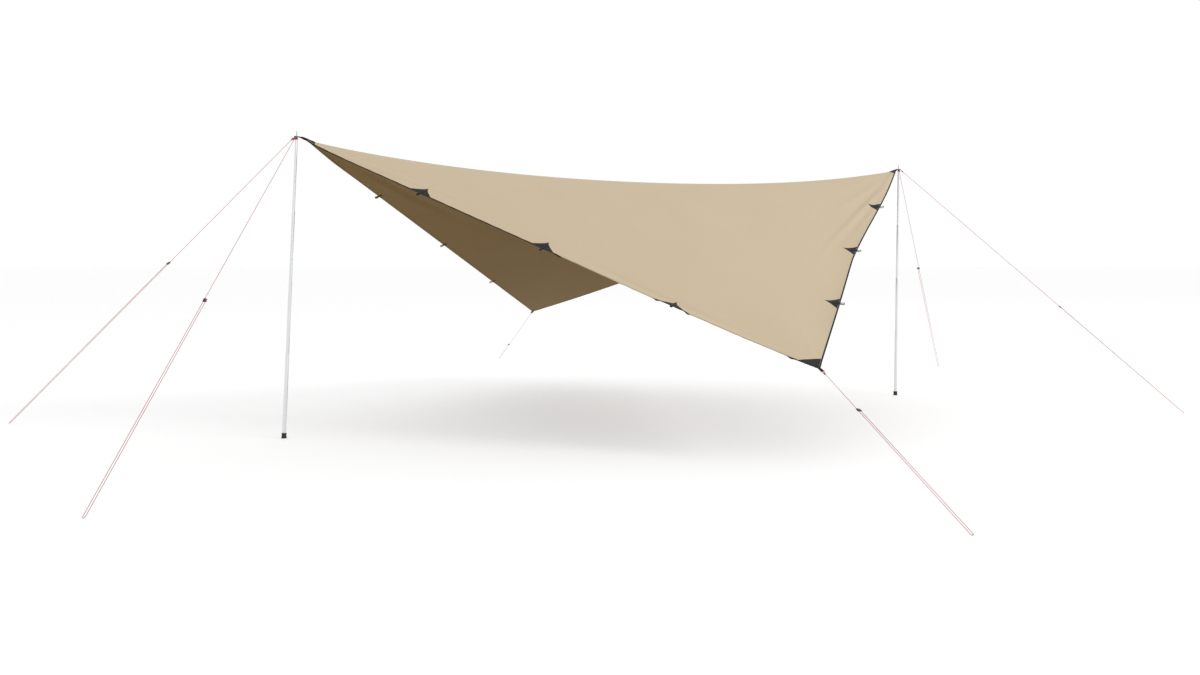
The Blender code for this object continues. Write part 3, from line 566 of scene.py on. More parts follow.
def open_for_edit():
    """Opens the active piece for editing, with all of it selected."""
    bpy.ops.object.mode_set(mode="EDIT")
    bpy.ops.mesh.select_all(action="SELECT")


def face_outwards():
    """Turns all faces of the piece that is open outwards, and closes it."""
    bpy.ops.mesh.select_all(action="SELECT")
    bpy.ops.mesh.normals_make_consistent(inside=False)
    bpy.ops.object.mode_set(mode="OBJECT")


def apply_modifier(piece, kind, **settings):
    bpy.context.view_layer.objects.active = piece
    bpy.ops.object.modifier_add(type=kind)
    modifier = piece.modifiers[-1]
    for name, value in settings.items():
        setattr(modifier, name, value)
    bpy.ops.object.modifier_apply(modifier=modifier.name)


def round_edges(piece, width, degrees):
    limit = radians(degrees)
    apply_modifier(piece, "BEVEL", width=width, segments=2, limit_method="ANGLE", angle_limit=limit)


def cut_out(piece, cutter):
    apply_modifier(piece, "BOOLEAN", operation="DIFFERENCE", object=cutter)
    bpy.data.objects.remove(cutter)


def finish_piece(piece, name, materials, body, slot, angle=35, stands_for=None):
    """Names and smooths a piece, and says its finish, its body and the solid it stands for."""
    piece.name = name
    piece.data.name = name
    for material in materials:
        piece.data.materials.append(material)
    select_only(piece)
    bpy.ops.object.shade_smooth_by_angle(angle=radians(angle))
    if body:
        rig.ride(piece, body)
    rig.slot(piece, slot)
    if stands_for:
        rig.replaces(piece, stands_for)
    return piece


def shaped_sheet(columns, rows, shape, uv, thickness, even=True):
    """Grid laid on a surface: shape and uv give a point's place and cut place, 0 to 1 each way."""
    select_only()
    bpy.ops.mesh.primitive_grid_add(x_subdivisions=columns, y_subdivisions=rows, size=1.0)
    piece = bpy.context.object
    mesh = piece.data
    marks = mesh.uv_layers.active.data
    for loop, mark in zip(mesh.loops, marks):
        corner = mesh.vertices[loop.vertex_index].co
        mark.uv = uv(corner.x + 0.5, corner.y + 0.5)
    for vert in mesh.vertices:
        vert.co = shape(vert.co.x + 0.5, vert.co.y + 0.5)
    mesh.update()
    if thickness:
        apply_modifier(piece, "SOLIDIFY", thickness=thickness, offset=0.0, use_even_offset=even)
    return piece


# Cloth


def frame_matrix(x_axis, y_axis, z_axis, origin):
    columns = (x_axis, y_axis, z_axis, origin)
    rows = [[column[i] for column in columns] for i in range(3)]
    return Matrix(rows + [[0.0, 0.0, 0.0, 1.0]])


def pin_matrix(side):
    """Frame of a pole tip: Z up the pole, X outwards, away from the cloth."""
    pin = place(*PIN_PLACES[side])
    up = (pin - place(*FOOT_PLACES[side])).normalized()
    outward = Vector((-1.0 if side == "left" else 1.0, 0.0, 0.0))
    y_axis = up.cross(outward).normalized()
    return frame_matrix(y_axis.cross(up), y_axis, up, pin)


def pole_corner(side):
    return pin_matrix(side) @ Vector((-STRAP_REACH[side], 0.0, -PIN_RISE))


LEFT, RIGHT = pole_corner("left"), pole_corner("right")
LOW_LEFT, LOW_RIGHT = LEFT - UP * CORNER_PULL["left"], RIGHT - UP * CORNER_PULL["right"]
FRONT, BACK = place(*FRONT_CORNER), place(*BACK_CORNER)
LOW_FRONT = FRONT - UP * CORNER_PULL["front"]
DIAGONAL = sqrt(0.5)
FRONT_RIGHT_IN = Vector((-DIAGONAL, DIAGONAL, 0.0))
FRONT_IN, BACK_IN = DIAGONAL * FRONT_BOW, DIAGONAL * BACK_BOW
FRONT_LEFT_BOW = Vector((FRONT_IN, FRONT_IN, -FRONT_DROP))
FRONT_RIGHT_BOW = Vector((-FRONT_IN, FRONT_IN, -FRONT_DROP))
BACK_RIGHT_BOW = Vector((-BACK_IN, -BACK_IN, -BACK_DROP))
BACK_LEFT_BOW = Vector((BACK_IN, -BACK_IN, -BACK_DROP))

# Steps inwards along the two edges of a corner, from the two parameters of the cloth and back
CORNER_STEPS = {
    "left": lambda a, b: (a, b),
    "front": lambda a, b: (1 - a, b),
    "right": lambda a, b: (1 - a, 1 - b),
    "back": lambda a, b: (a, 1 - b),
}

# Edges run between neighbouring corners: a point at t along one and s inwards from it
EDGES = {
    "front_left": lambda t, s: (t, s),
    "front_right": lambda t, s: (1 - s, t),
    "back_right": lambda t, s: (t, 1 - s),
    "back_left": lambda t, s: (s, t),
}

# Creases that fan out from a corner: its angle from the corner's first edge in degrees, how long
# it is, and its height and half width
CREASES = (
    ("right", 83.5, 2.50, 0.0120, 0.045),
    ("right", 87.2, 1.90, 0.0050, 0.040),
    ("right", 76.0, 1.70, 0.0070, 0.060),
    ("right", 10.0, 1.90, 0.0050, 0.050),
    ("left", 8.0, 1.60, 0.0045, 0.040),
    ("left", 78.0, 2.10, 0.0070, 0.050),
    ("left", 84.5, 1.40, 0.0045, 0.028),
    ("front", 24.0, 0.80, 0.0008, 0.035),
    ("front", 66.0, 0.90, 0.0008, 0.035),
    ("back", 30.0, 0.90, 0.0026, 0.035),
    ("back", 62.0, 0.80, 0.0022, 0.030),
)


def smooth_step(x, start, end):
    t = min(max((x - start) / (end - start), 0.0), 1.0)
    return t * t * (3 - 2 * t)


def stretch(x, start, full, easing, end):
    """Rises from 0 to 1 between start and full, and falls back between easing and end."""
    return smooth_step(x, start, full) * (1 - smooth_step(x, easing, end))


def hem_hollow(u, v):
    """Depth of the hollow beside the front hems, which ends at the ridge and near the corners."""
    depth = 0.0
    for marks, run, inwards, ridge in ((HOLLOW_RIGHT, v, 1 - u, 1 - v), (HOLLOW_LEFT, u, v, u)):
        share = stretch(run, *marks)
        if share > 0 and inwards < ridge:
            near = inwards * CLOTH_SIDE / HOLLOW_PLACE
            depth += HOLLOW_DEPTH * share * near * exp(1 - near) * (1 - inwards / ridge) ** 2
    return depth


def even_cloth(u, v):
    """Middle of the cloth: u = v = 0 is the left corner, u = 1 the front, v = 1 the back one."""
    point = (LOW_LEFT * (1 - v) + BACK * v) * (1 - u) + (LOW_FRONT * (1 - v) + LOW_RIGHT * v) * u
    blend = 4 * RIDGE_SOFTNESS * sqrt(max(u * (1 - u) * v * (1 - v), 0.0))
    spread = hypot(u - v, blend)
    smaller, larger = (u + v - spread) / 2, (u + v + spread) / 2
    point += UP * RIDGE_LIFT * smaller * (1 - larger)
    point += FRONT_LEFT_BOW * 4 * u * (1 - u) * (1 - v) ** 2
    point += FRONT_RIGHT_BOW * 4 * v * (1 - v) * u**2
    point += BACK_RIGHT_BOW * 4 * u * (1 - u) * v**2
    point += BACK_LEFT_BOW * 4 * v * (1 - v) * (1 - u) ** 2
    for corner, steps in (("left", u + v), ("right", 2 - u - v), ("front", 1 - u + v)):
        point += UP * CORNER_PULL[corner] * exp(-steps / PULL_SPAN)
    for width, start, end, skew in HEM_SWELLS:
        share = min(max((v - start) / (end - start), 0.0), 1.0)
        point -= FRONT_RIGHT_IN * width * sin(pi * share**skew) * u**6
    if u > v:
        steep = (1 - exp(-u / FLAP_START)) * exp(-u / FLAP_SPAN)
        point -= UP * FLAP_DROP * steep * ((u - v) / (u + v)) ** 2
    return point - UP * hem_hollow(u, v)


def crease_height(u, v):
    height = 0.0
    for corner, angle, length, depth, width in CREASES:
        a, b = CORNER_STEPS[corner](u, v)
        a, b = abs(a) * CLOTH_SIDE, abs(b) * CLOTH_SIDE
        turn = radians(angle)
        along = a * cos(turn) + b * sin(turn)
        off = (b * cos(turn) - a * sin(turn)) / width
        if 0.0 < along < length and abs(off) < 3.0:
            fade = sin(pi * (along / length) ** 0.65) ** 1.2
            height += depth * fade * (1 - 2 * off**2) * exp(-(off**2))
    off = (v * CLOTH_SIDE - FOLD_PLACE) / FOLD_WIDTH
    if abs(off) < 4.5:
        height -= FOLD_DEPTH * stretch(u, *FOLD_STRETCH) * exp(-(off**2))
    side = min(u, v, 1 - u, 1 - v) * CLOTH_SIDE
    if 0.0 <= side < 3.2 * WAVE_REACH:
        run = (u - v) * CLOTH_SIDE
        swell = sin(run * 52.0) + 0.6 * sin(run * 83.0 + 1.0)
        height += WAVE_HEIGHT * swell * exp(-side / WAVE_REACH)
    return height


def cloth(u, v, above=0.0):
    """Point above the creased cloth: the even surface, moved along its upward side."""
    height = crease_height(u, v) + above
    if abs(height) < 0.000001:
        return even_cloth(u, v)
    return even_cloth(u, v) + even_normal(u, v) * height


def even_normal(u, v):
    step = 0.002
    across = even_cloth(u + step, v) - even_cloth(u - step, v)
    along = even_cloth(u, v + step) - even_cloth(u, v - step)
    normal = across.cross(along).normalized()
    return normal if normal.z > 0 else -normal


def rolled_hem(t, inward, height):
    """Metres inwards and above the cloth, after the front left hem has rolled under."""
    share = sum(stretch(t, *marks) for marks in ROLL_STRETCHES)
    if inward >= HEM_ROLL or share < 0.001:
        return inward, height
    radius = ROLL_RADIUS / share
    turn = (HEM_ROLL - inward) / radius
    reach = radius + height
    return HEM_ROLL - reach * sin(turn), reach * cos(turn) - radius


def on_edge(edge, t, along, inward, height):
    """Point near an edge: metres along it from t, metres inwards, and metres above the cloth."""
    where = EDGES[edge]
    if edge == "front_left":
        inward, height = rolled_hem(t, inward, height)
    run = even_cloth(*where(t + EDGE_STEP, 0.0)) - even_cloth(*where(t - EDGE_STEP, 0.0))
    depth = even_cloth(*where(t, EDGE_STEP)) - even_cloth(*where(t, 0.0))
    u, v = where(t + along * 2 * EDGE_STEP / run.length, inward * EDGE_STEP / depth.length)
    return cloth(u, v, height)


def at_corner(corner, a, b, height):
    """Point near a corner, metres inwards along its two edges and metres above the cloth."""
    return cloth(*CORNER_STEPS[corner](a / CLOTH_SIDE, b / CLOTH_SIDE), height)


def metres_in(share, marks):
    """Distance across the cut cloth for a share of its cells, which the marks space unevenly."""
    cell = share * CANOPY_CELLS
    for (low, start), (high, end) in zip(marks, marks[1:]):
        if cell <= high:
            return start + (end - start) * (cell - low) / (high - low)
    return CLOTH_SIDE


def make_canopy():
    """One continuous sheet, sand outside and brown inside, the brown darkened with painted shade of the underside."""

    def cut_place(x, y):
        return (metres_in(x, CANOPY_COLUMNS), metres_in(y, CANOPY_ROWS))

    def shape(x, y):
        u = metres_in(x, CANOPY_COLUMNS) / CLOTH_SIDE
        inward, height = rolled_hem(u, metres_in(y, CANOPY_ROWS), 0.0)
        return cloth(u, inward / CLOTH_SIDE, height)

    piece = shaped_sheet(CANOPY_CELLS, CANOPY_CELLS, shape, cut_place, 0)
    piece.data.materials.append(OUTSIDE)
    piece.data.materials.append(INSIDE_WITH_PAINTED_SHADE)
    apply_modifier(piece, "SOLIDIFY", thickness=CLOTH_THICKNESS, offset=0.0, material_offset=1)
    return finish_piece(piece, "tarp_cloth", (), "tarp", "coated_cloth", 60, "canopy")


# Sewn pieces


TAPE_PROFILE = [(BINDING_WIDTH, TAPE_HEIGHT * 0.7), (BINDING_WIDTH - 0.001, TAPE_HEIGHT * 0.95)]
TAPE_PROFILE += [(0.006, TAPE_HEIGHT), (0.003, TAPE_HEIGHT), (0.0, TAPE_HEIGHT)]


def make_binding(edge):
    """Tape folded over the hem: black outside, and on the inside brown like the cloth's inside, with the same painted
    shade.
    """
    fold = [radians(degrees) for degrees in range(120, 270, 30)]
    around = [(TAPE_HEIGHT * cos(turn), TAPE_HEIGHT * sin(turn)) for turn in fold]
    under = [(inward, -height) for inward, height in reversed(TAPE_PROFILE)]
    profile = TAPE_PROFILE + around + under
    rows = len(profile) - 1
    end = TAPE_END / CLOTH_SIDE

    def shape(x, y):
        inward, height = profile[round(y * rows)]
        return on_edge(edge, end + (1 - 2 * end) * x, 0.0, inward, height)

    def cut_place(x, y):
        return (x * CLOTH_SIDE, y * 2 * BINDING_WIDTH)

    piece = shaped_sheet(400, rows, shape, cut_place, TAPE_THICKNESS, even=False)
    marks = piece.data.uv_layers.active.data
    turned_under = 2 * BINDING_WIDTH * (len(TAPE_PROFILE + around) - 1) / rows
    for polygon in piece.data.polygons:
        reaches = [marks[loop].uv.y for loop in polygon.loop_indices]
        polygon.material_index = 1 if sum(reaches) / len(reaches) > turned_under else 0
    materials = (BLACK_TAPE, INSIDE_WITH_PAINTED_SHADE)
    return finish_piece(
        piece, "hem_tape_" + edge, materials, "tarp", "binding_tape", 60, "binding_" + edge
    )


def smooth_path(controls, samples):
    """Points of a centripetal Catmull-Rom curve; samples gives how many each stretch gets."""
    ends = [controls[0] * 2 - controls[1]] + controls + [controls[-1] * 2 - controls[-2]]
    points = []
    for k, count in enumerate(samples):
        p0, p1, p2, p3 = ends[k : k + 4]
        t1 = (p1 - p0).length ** 0.5
        t2 = t1 + (p2 - p1).length ** 0.5
        t3 = t2 + (p3 - p2).length ** 0.5
        for step in range(count):
            t = t1 + (t2 - t1) * step / count
            a1 = p0.lerp(p1, t / t1)
            a2 = p1.lerp(p2, (t - t1) / (t2 - t1))
            a3 = p2.lerp(p3, (t - t2) / (t3 - t2))
            b1 = a1.lerp(a2, t / t2)
            b2 = a2.lerp(a3, (t - t1) / (t3 - t1))
            points.append(b1.lerp(b2, (t - t1) / (t2 - t1)))
    return points + [controls[-1]]


def lengths_along(points):
    total = [0.0]
    for first, second in zip(points, points[1:]):
        total.append(total[-1] + (second - first).length)
    return total


def webbing_strip(line, width, rows, thickness, place_at):
    """Webbing along a line of (outwards, height); place_at also takes the distance sideways."""
    run = lengths_along([Vector((*bend, 0.0)) for bend in line])
    last = len(line) - 1

    def shape(x, y):
        return place_at(*line[round(x * last)], (y - 0.5) * width)

    def cut_place(x, y):
        return (run[round(x * last)], min(y, 1 - y) * width)

    return shaped_sheet(last, rows, shape, cut_place, thickness)


# Side view of an edge tab's webbing: how far outwards from the hem, and the height over the cloth
TAB_LINE = [(-0.050, 0.0028), (-0.030, 0.0028), (-0.016, 0.0030), (-0.008, 0.0036)]
TAB_LINE += [(0.0, 0.0037), (0.012, 0.0052), (0.022, 0.0064), (0.030, 0.0048), (TAB_REACH, 0.0)]
TAB_LINE += [(0.030, -0.0048), (0.022, -0.0064), (0.012, -0.0052), (0.0, -0.0037)]
TAB_LINE += [(-0.012, -0.0034), (-0.028, -0.0026)]


def make_edge_tab(edge, number, t):
    """Shaped patch sewn on by the hem, with a loop of narrow webbing folded round the hem."""

    def patch(x, y):
        out = y**1.15
        width = TAB_PATCH_BASE * (1 - out) ** 1.45 + TAB_PATCH_TIP
        inward = PATCH_BORDER + TAB_PATCH_HEIGHT * out
        return on_edge(edge, t, (x - 0.5) * width, inward, PATCH_HEIGHT)

    def patch_cut(x, y):
        return ((x - 0.5) * TAB_PATCH_BASE, y * TAB_PATCH_HEIGHT)

    fabric = shaped_sheet(20, 18, patch, patch_cut, PATCH_THICKNESS)
    fabric.data.materials.append(PATCH_CLOTH)
    line = smooth_path([Vector(bend) for bend in TAB_LINE], [4] * (len(TAB_LINE) - 1))

    def loop(out, height, side):
        return on_edge(edge, t, side, -out, height)

    webbing = webbing_strip(line, TAB_WEBBING, 4, TAB_THICKNESS, loop)
    webbing.data.materials.append(BLACK_WEBBING)
    select_only(fabric, webbing)
    bpy.ops.object.join()
    name = f"edge_tab_{edge}_{number}"
    return finish_piece(fabric, "sewn_" + name, (), "tarp", "webbing", 50, name)


def make_corner_patch(corner):
    """Three-cornered patch of heavy cloth over the corner."""
    reach = CORNER_PATCH[corner] - PATCH_BORDER

    def cut_place(x, y):
        return (reach * y * (1 - x), reach * y * x)

    def shape(x, y):
        a, b = cut_place(x, y)
        return at_corner(corner, PATCH_BORDER + a, PATCH_BORDER + b, PATCH_HEIGHT)

    piece = shaped_sheet(24, 18, shape, cut_place, 0)
    open_for_edit()
    bpy.ops.mesh.remove_doubles(threshold=MERGE)
    bpy.ops.object.mode_set(mode="OBJECT")
    apply_modifier(piece, "SOLIDIFY", thickness=PATCH_THICKNESS, offset=0.0)
    name = "corner_patch_" + corner
    return finish_piece(piece, "sewn_" + name, (PATCH_CLOTH,), "tarp", "webbing", 50, name)


def strap_frame(corner):
    """Frame at the cloth's corner, X outwards along the strap, Z up from the cloth."""
    if corner in POLE_SIDES:
        matrix = pin_matrix(corner)
        matrix.translation = pole_corner(corner)
        return matrix
    where = CORNER_STEPS[corner]
    tip = even_cloth(*where(0.0, 0.0))
    outward = (tip - even_cloth(*where(CORNER_SPAN, CORNER_SPAN))).normalized()
    across = even_cloth(*where(CORNER_SPAN, 0.0)) - even_cloth(*where(0.0, CORNER_SPAN))
    normal = outward.cross(across).normalized()
    if normal.z < 0:
        normal.negate()
    return frame_matrix(outward, normal.cross(outward), normal, tip)


def corner_slopes(corner):
    """Slope of the cloth along the strap, and its fall on the strap's two sides, in its frame."""
    to_frame = strap_frame(corner).inverted()
    where = CORNER_STEPS[corner]
    span = STRAP_SEWN * DIAGONAL / CLOTH_SIDE
    inside = to_frame @ even_cloth(*where(span, span))
    slope = inside.z / inside.x
    falls = {}
    for edge in (where(span, 0.0), where(0.0, span)):
        spot = to_frame @ even_cloth(*edge)
        falls[spot.y > 0] = (slope * spot.x - spot.z) / abs(spot.y)
    return slope, falls


def strap_flat(corner):
    """Distance from the cloth's corner to where the strap lies flat."""
    if corner in POLE_SIDES:
        return STRAP_REACH[corner] - STRAP_FLAT
    return STRAP_REACH[corner] - CORD_LOOP_RADIUS - STRAP_FLAT


def strap_middle(corner, x):
    """Height of the strap's middle plane: on the cloth's slope, then level at the pole tip."""
    slope, _ = corner_slopes(corner)
    if x <= 0 or corner not in POLE_SIDES:
        return slope * x
    flat = strap_flat(corner)
    t = min(x / flat, 1.0)
    return slope * flat * (t - 2 * t**2 + t**3) + PIN_RISE * t**2 * (3 - 2 * t)


def strap_loop(corner):
    """Centre of the loop at the strap's end and the loop's radius, in the strap's frame."""
    if corner in POLE_SIDES:
        return STRAP_REACH[corner] + STRAP_PAST_PIN, PIN_LOOP_RADIUS
    return STRAP_REACH[corner] - CORD_LOOP_RADIUS, CORD_LOOP_RADIUS


def make_corner_strap(corner):
    """Webbing sewn over and under the corner and folded round to a loop at its outer end."""
    _, falls = corner_slopes(corner)
    centre, radius = strap_loop(corner)
    flat = strap_flat(corner)
    frame_here = strap_frame(corner)
    runs = [-STRAP_SEWN + (STRAP_SEWN + centre) * k / 24 for k in range(25)]

    def layer(sewn_height):
        at_loop = copysign(radius, sewn_height)
        eases = [smooth_step(x, 0.0, flat) for x in runs]
        return [(x, sewn_height * (1 - ease) + at_loop * ease) for x, ease in zip(runs, eases)]

    turns = [radians(75 - 15 * k) for k in range(11)]
    line = layer(STRAP_OVER)
    line += [(centre + radius * cos(turn), radius * sin(turn)) for turn in turns]
    line += list(reversed(layer(-STRAP_UNDER)))

    def laid(out, height, side):
        drop = falls[side > 0] * abs(side) * (1 - smooth_step(out, 0.0, flat))
        return frame_here @ Vector((out, side, strap_middle(corner, out) + height - drop))

    piece = webbing_strip(line, STRAP_WIDTH[corner], 8, STRAP_THICKNESS, laid)
    if corner in POLE_SIDES:
        bpy.ops.mesh.primitive_cylinder_add(vertices=48, radius=EYELET_HOLE, depth=0.03)
        punch = bpy.context.object
        punch.data.transform(pin_matrix(corner))
        cut_out(piece, punch)
    name = "webbing_strap_" + corner
    stands_for = "corner_strap_" + corner
    return finish_piece(piece, name, (BLACK_WEBBING,), "tarp", "webbing", 50, stands_for)


# Turned pieces of the poles


def turned(outline, hollow=False, bevel=0.0003):
    """Body turned about Z, ring by ring from (radius, height) points; hollow joins its ends."""
    select_only()
    radius, height = outline[0]
    fill = "NOTHING" if hollow else "NGON"
    bpy.ops.mesh.primitive_circle_add(
        vertices=TURNED_SIDES, radius=radius, fill_type=fill, location=(0.0, 0.0, height)
    )
    piece = bpy.context.object
    bpy.ops.object.transform_apply()
    open_for_edit()
    for next_radius, next_height in outline[1:]:
        rise = (0.0, 0.0, next_height - height)
        bpy.ops.mesh.extrude_region_move(TRANSFORM_OT_translate={"value": rise})
        size = next_radius / radius
        bpy.ops.transform.resize(value=(size, size, 1.0), center_override=(0.0, 0.0, next_height))
        radius, height = next_radius, next_height
    if hollow:
        bpy.ops.mesh.select_all(action="DESELECT")
        bpy.ops.mesh.select_non_manifold()
        bpy.ops.mesh.bridge_edge_loops()
    face_outwards()
    if bevel:
        round_edges(piece, bevel, 35)
    return piece


def foot_matrix(side):
    matrix = pin_matrix(side)
    matrix.translation = place(*FOOT_PLACES[side])
    return matrix


def pole_heights(side):
    """Bottoms and tops of the four tubes up the pole, and the height where the strap sits."""
    strap = (place(*PIN_PLACES[side]) - place(*FOOT_PLACES[side])).length
    top = strap - EYELET_HALF_HEIGHT - EYE_ROOM - PLUG_SHOULDER
    first_mouth = CAP_FLOOR + GAP + TUBE_LENGTH
    showing = (top - first_mouth) / (len(TUBE_DIAMETERS) - 1)
    tops = [first_mouth + showing * k for k in range(len(TUBE_DIAMETERS))]
    return [mouth - TUBE_LENGTH for mouth in tops], tops, strap


def put_up(piece, side, name, material, body, slot):
    piece.data.transform(foot_matrix(side))
    finish_piece(piece, f"{side}_pole_{name}", (material,), body, slot, 30, f"{side}_{name}")


def make_foot_cap(side):
    """Waisted rubber foot with two grip rings, cut level with the ground."""
    bore = TUBE_DIAMETERS[0] / 2 + 0.0002
    waist = bore + CAP_WALL
    # Rim and grip rings: how far each stands out from the waist, and how far below the rim it is
    rings = [(0.0010, 0.0), (0.0014, 0.004), (0.0002, 0.0055), (0.0002, 0.0085)]
    rings += [(0.0010, 0.0095), (0.0010, 0.0125), (0.0, 0.0140), (0.0002, 0.020)]
    outline = [(bore, CAP_HEIGHT)] + [(waist + out, CAP_HEIGHT - down) for out, down in rings]
    outline += [(CAP_FLARE - 0.0012, 0.0085), (CAP_FLARE - 0.0003, 0.0055), (CAP_FLARE, 0.003)]
    outline += [(CAP_FLARE, -0.0015), (bore, -0.0015), (bore, CAP_FLOOR)]
    piece = turned(outline, hollow=True, bevel=0.0002)
    upwards = foot_matrix(side).to_3x3().inverted() @ UP
    open_for_edit()
    bpy.ops.mesh.bisect(plane_co=(0.0, 0.0, 0.0), plane_no=upwards, clear_inner=True, use_fill=True)
    bpy.ops.object.mode_set(mode="OBJECT")
    put_up(piece, side, "foot_cap", BLACK_RUBBER, "tarp", "black_rubber")


def make_pole(side):
    bottoms, tops, strap = pole_heights(side)
    bodies = ("tarp", side + "_second", side + "_third", side + "_top")
    for name, diameter, bottom, top, body in zip(TUBE_NAMES, TUBE_DIAMETERS, bottoms, tops, bodies):
        outer, inner = diameter / 2, diameter / 2 - TUBE_WALL
        outline = [(inner, bottom), (outer, bottom), (outer, top - 0.0012)]
        outline += [(outer - 0.0001, top - 0.0004), (outer - 0.0005, top), (inner, top)]
        tube = turned(outline, hollow=True, bevel=0.00015)
        put_up(tube, side, name, POLE_METAL, body, "pole_metal")
    make_foot_cap(side)
    top = tops[-1]
    stem = TUBE_DIAMETERS[-1] / 2 - TUBE_WALL - GAP
    shoulder = top + PLUG_SHOULDER
    socket = SPIKE_RADIUS + 0.0001
    plug = [(stem - 0.0008, top - PLUG_STEM), (stem, top - PLUG_STEM + 0.0008), (stem, top + GAP)]
    plug += [(PLUG_RADIUS, top + GAP), (PLUG_RADIUS, shoulder - 0.0028)]
    plug += [(PLUG_RADIUS - 0.0006, shoulder - 0.0008), (PLUG_RADIUS - 0.0018, shoulder)]
    plug += [(socket, shoulder), (socket, top - SPIKE_SOCKET)]
    body = side + "_top"
    put_up(turned(plug), side, "tip_plug", BLACK_PLASTIC, body, "black_plastic")
    tip = strap + SPIKE_ABOVE_STRAP
    rounding = ((1.0, 0.0040), (0.92, 0.0022), (0.72, 0.0009), (0.40, 0.0002), (0.15, 0.0))
    spike = [(SPIKE_RADIUS, top - SPIKE_SOCKET + GAP)]
    spike += [(SPIKE_RADIUS * share, tip - down) for share, down in rounding]
    put_up(turned(spike, bevel=0), side, "tip_spike", STEEL, body, "plated_steel")
    for number in (1, 2, 3):
        lock = frame["nodes"][f"{side}_expander_{number}"]
        lock.data.materials.clear()
        lock.data.materials.append(GREY_NYLON)
    make_eyelet(side)


def make_eyelet(side):
    """Two-part eyelet with rolled flanges, through both layers of the strap."""
    half = EYELET_HALF_HEIGHT
    rolled = [(EYELET_BORE, 0.0), (EYELET_BORE, half - 0.0008), (EYELET_BORE + 0.0004, half - 0.0002)]
    rolled += [(EYELET_BORE + 0.0012, half), (EYELET_FLANGE - 0.0012, half - 0.0001)]
    rolled += [(EYELET_FLANGE - 0.0003, half - 0.0004), (EYELET_FLANGE, half - 0.0008)]
    rolled += [(EYELET_FLANGE - 0.0002, half - 0.0010), (EYELET_BARREL, half - 0.0009)]
    outline = rolled + [(radius, -height) for radius, height in reversed(rolled[1:])]
    piece = turned(outline, hollow=True, bevel=0)
    piece.data.transform(pin_matrix(side))
    name = "eyelet_" + side
    finish_piece(piece, "rolled_" + name, (NICKEL,), "tarp", "nickelled_brass", 40, name)


# Guy lines and runners


def peg_point(guy):
    _, (x, y), _, _ = GUYS[guy]
    return place(x, y, CORD_DIAMETER / 2 + PEG_CLEARANCE)


def spike_eye(guy):
    """Eye laid over a pole's spike, under the strap, from its tail to the knot."""
    corner, _, _, level = GUYS[guy]
    pin = pin_matrix(corner)
    up = pin.to_3x3().col[2]
    origin = pin.translation
    height = -(EYELET_HALF_HEIGHT + GAP + CORD_DIAMETER / 2 + level * EYE_STACK)
    y_axis = up.cross(peg_point(guy) - origin).normalized()
    x_axis = y_axis.cross(up)
    r, h = EYE_RADIUS, EYE_RADIUS * DIAGONAL
    local = [(EYE_LENGTH, -TAIL_GAP, -0.0115), (0.024, -0.0060, -0.0025), (0.012, -0.0066, 0.0)]
    local += [(0.0, -r, 0.0), (-h, -h, 0.0), (-r, 0.0, 0.0), (-h, h, 0.0), (0.0, r, 0.0)]
    local += [(0.012, 0.0062, 0.0), (0.024, 0.0035, -0.0025), (EYE_LENGTH, 0.0, -0.0115)]
    return [origin + x_axis * x + y_axis * y + up * (z + height) for x, y, z in local]


def strap_eye(guy):
    """Eye through the loop of a corner strap, from its tail to the knot."""
    corner = GUYS[guy][0]
    frame_here = strap_frame(corner)
    centre, radius = strap_loop(corner)
    inside = radius - STRAP_THICKNESS / 2 - CORD_DIAMETER / 2 - 2 * GAP
    origin = frame_here @ Vector((centre + inside, 0.0, strap_middle(corner, centre)))
    across = frame_here.to_3x3().col[1]
    along = (peg_point(guy) - origin).normalized()
    start = STRAP_WIDTH[corner] / 2 + GAP

    def bend(degrees):
        turn = radians(degrees)
        return EYE_BEND * (1 + cos(turn)), start + EYE_BEND * sin(turn)

    tail = [(x, -y) for x, y in (bend(angle) for angle in (70, 90, 120, 150, 180))]
    leg = [bend(angle) for angle in (180, 150, 120, 90, 65)]
    local = [(EYE_LENGTH, -TAIL_GAP), (0.022, -0.0092)] + tail
    local += [(0.0, 0.0)] + leg + [(0.022, 0.0072), (EYE_LENGTH, 0.0)]
    return [origin + along * x + across * y for x, y in local]


def guy_frame(guy):
    """Knot and peg ends of the standing leg, its direction down to the peg, and the side way."""
    eye = spike_eye(guy) if GUYS[guy][0] in POLE_SIDES else strap_eye(guy)
    knot, peg = eye[-1], peg_point(guy)
    down = (peg - knot).normalized()
    side = UP.cross(down).normalized()
    return eye, knot, peg, down, side


def line_route(guy):
    """The line from its eye, down the standing leg and round the peg."""
    eye, knot, peg, down, side = guy_frame(guy)
    standing = [knot + down * 0.03]
    standing += [knot.lerp(peg, share) for share in (0.2, 0.4, 0.6, 0.8)]
    standing += [peg - down * TURN_LENGTH]
    turn = [(0.009, 0.0), (0.0028, 0.0018), (0.0, LEG_GAP / 2), (0.0028, LEG_GAP - 0.0018)]
    turn += [(0.009, LEG_GAP), (TURN_LENGTH, LEG_GAP)]
    bight = [peg - down * back + side * across for back, across in turn]
    samples = [4] * (len(eye) - 1) + [3, 2, 2, 2, 2, 2, 3] + [5] * (len(bight) - 2) + [2]
    return smooth_path(eye + standing + bight, samples)


def return_route(guy):
    """The part of the line that runs back from the peg and ends in a knot above the runner."""
    _, _, peg, down, side = guy_frame(guy)
    rise = GUYS[guy][2] + STOPPER_LENGTH - TURN_LENGTH
    return [peg - down * (TURN_LENGTH + rise * k / 24) + side * LEG_GAP for k in range(25)]


